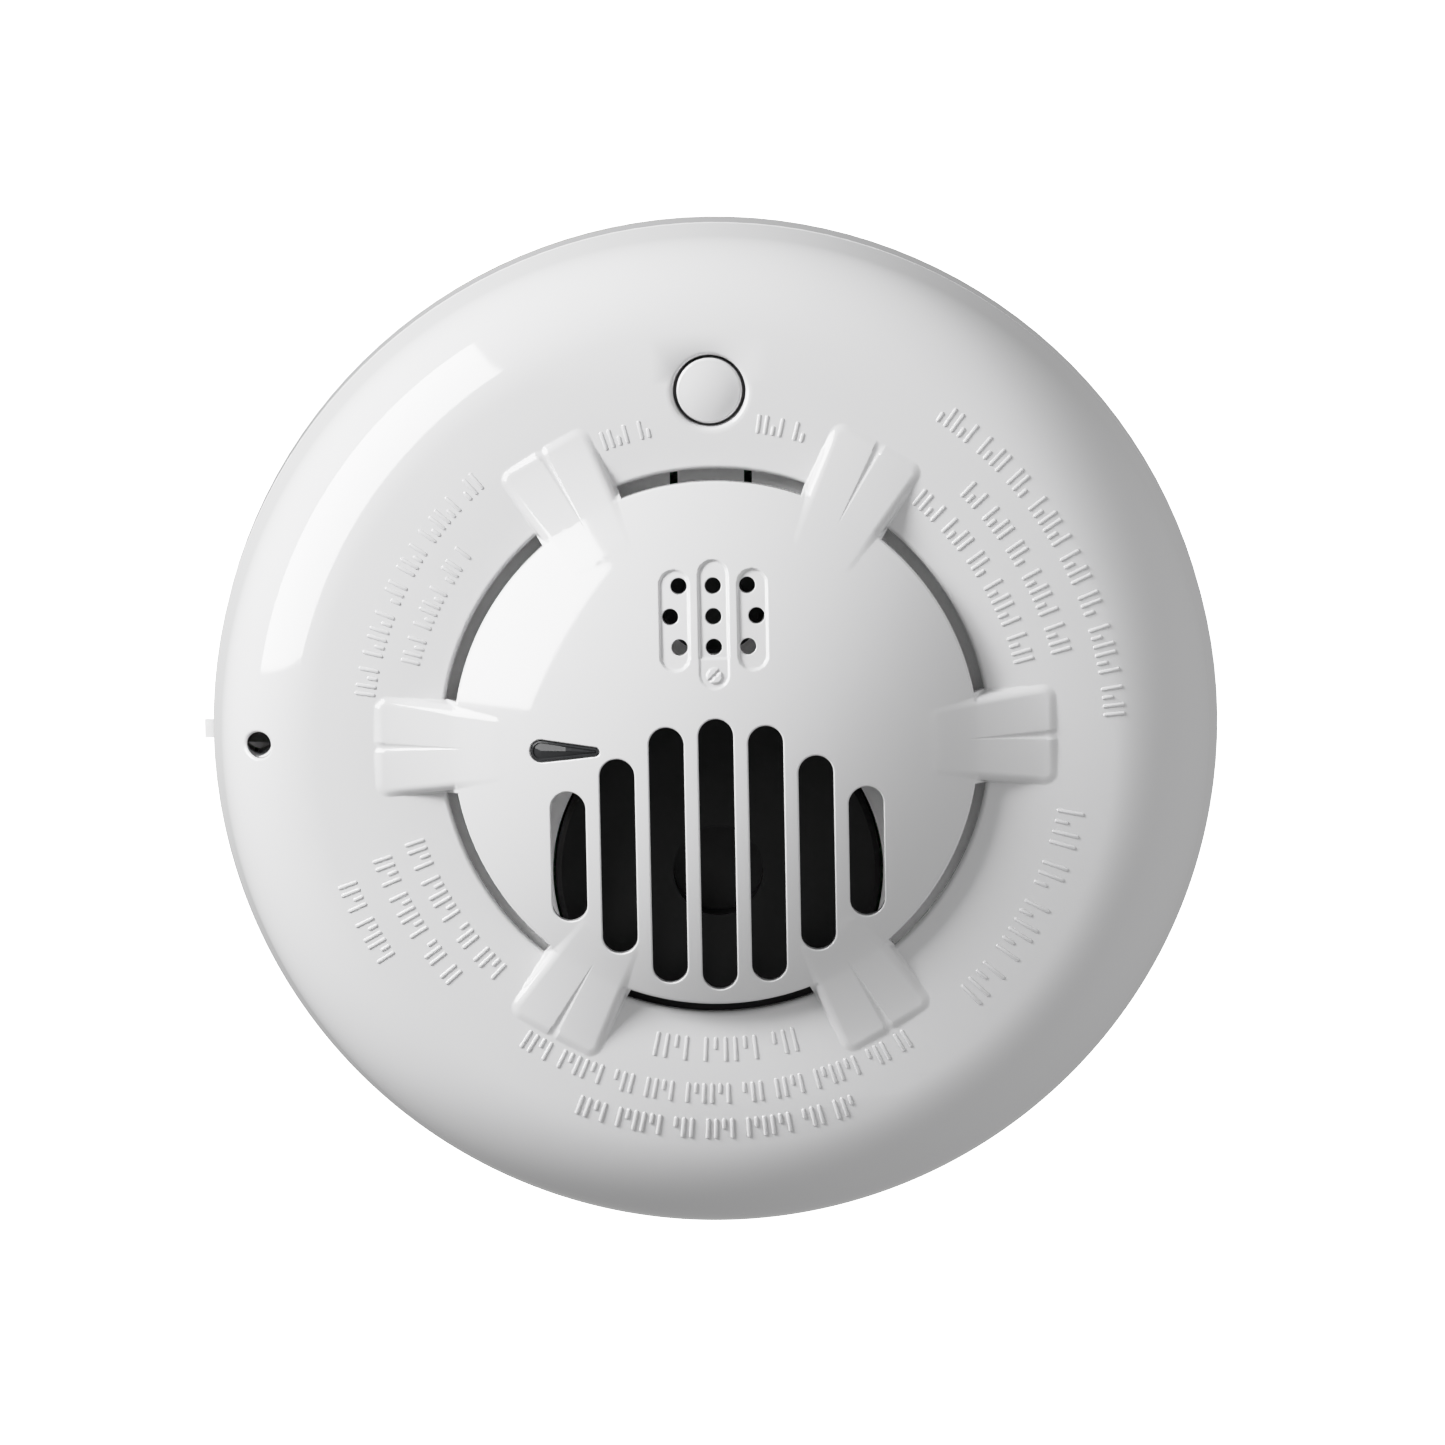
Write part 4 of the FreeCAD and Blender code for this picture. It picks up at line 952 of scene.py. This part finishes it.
def make_camera():
    camera = bpy.data.objects.new("camera", bpy.data.cameras.new("camera"))
    bpy.context.scene.collection.objects.link(camera)
    camera.data.lens = camera.data.sensor_width * (CAMERA_AWAY - FRAME_Z) / FRAME_WIDE
    camera.data.clip_end = 20
    direction = Vector((0, math.sin(CAMERA_TILT), math.cos(CAMERA_TILT)))
    camera.location = AIM + direction * CAMERA_AWAY
    facing = Matrix.Rotation(-CAMERA_TILT, 3, "X") @ Matrix.Rotation(CAMERA_ROLL, 3, "Z")
    camera.rotation_euler = facing.to_euler()
    bpy.context.scene.camera = camera


def area_light(name, place, aim, wide, tall, power):
    data = bpy.data.lights.new(name, "AREA")
    data.shape = "RECTANGLE"
    data.size, data.size_y = wide, tall
    data.energy = power
    light = bpy.data.objects.new(name, data)
    bpy.context.scene.collection.objects.link(light)
    light.location = place
    light.rotation_euler = (Vector(place) - Vector(aim)).to_track_quat("Z", "Y").to_euler()
    return light


def from_axis(away, turn, rise):
    """A place some distance from the origin, turned from +X and raised from the floor, in degrees."""
    turn, rise = math.radians(turn), math.radians(rise)
    return Vector((math.cos(rise) * math.cos(turn), math.cos(rise) * math.sin(turn), math.sin(rise))) * away


def make_lights():
    """A softbox that only shows as a reflection, a key and a fill that don't, and a dim white room."""
    softbox_z = 0.42
    place = from_axis(0.62, 150, 0) + Vector((0, 0, softbox_z))
    softbox = area_light("softbox", place, (0, 0, softbox_z), 0.62, 0.68, 14.0)
    softbox.visible_diffuse = False
    key = area_light("key", from_axis(1.2, 145, 25), (0, 0, 0), 0.45, 0.45, 19.0)
    key.visible_glossy = False
    fill = area_light("fill", from_axis(1.2, 5, 30), (0, 0, 0), 1.0, 1.0, 2.6)
    fill.visible_glossy = False
    world = bpy.data.worlds.new("room")
    bpy.context.scene.world = world
    world.use_nodes = True
    background = world.node_tree.nodes["Background"]
    background.inputs["Color"].default_value = (1, 1, 1, 1)
    background.inputs["Strength"].default_value = 0.365


def soften_highlights():
    """A camera response that is straight in the shadows and rolls off towards white."""
    view = bpy.context.scene.view_settings
    view.view_transform = "Standard"
    view.use_curve_mapping = True
    mapping = view.curve_mapping
    mapping.white_level = (BRIGHTEST, BRIGHTEST, BRIGHTEST)
    for light, shown in ROLL_OFF:
        mapping.curves[3].points.new(light / BRIGHTEST, shown)
    mapping.update()


def make_floor():
    """A white floor that glows, so that it shows pure white, but lights nothing."""
    mesh = bpy.data.meshes.new("floor")
    reach = 6.0
    corners = [(-reach, -reach, 0), (reach, -reach, 0), (reach, reach, 0), (-reach, reach, 0)]
    mesh.from_pydata(corners, [], [(0, 1, 2, 3)])
    floor = bpy.data.objects.new("floor", mesh)
    bpy.context.scene.collection.objects.link(floor)
    material, shader = new_material("floor_white", (0.94, 0.94, 0.94), 0.9)
    shader.inputs["Emission Color"].default_value = (1, 1, 1, 1)
    shader.inputs["Emission Strength"].default_value = 2.5
    paint(floor, material)
    floor.location.z = -0.0002
    floor.visible_diffuse = False
    floor.visible_glossy = False


paint_nodes()
add_piece(front_cover(), "head", "white_case", "front_cover")
add_piece(raised_marks(), "head", "white_case")
add_piece(cover_posts(), "head", "white_case")
add_piece(window_lens(), "head", "smoked_lens", "light_pipe")
make_camera()
make_lights()
soften_highlights()
make_floor()
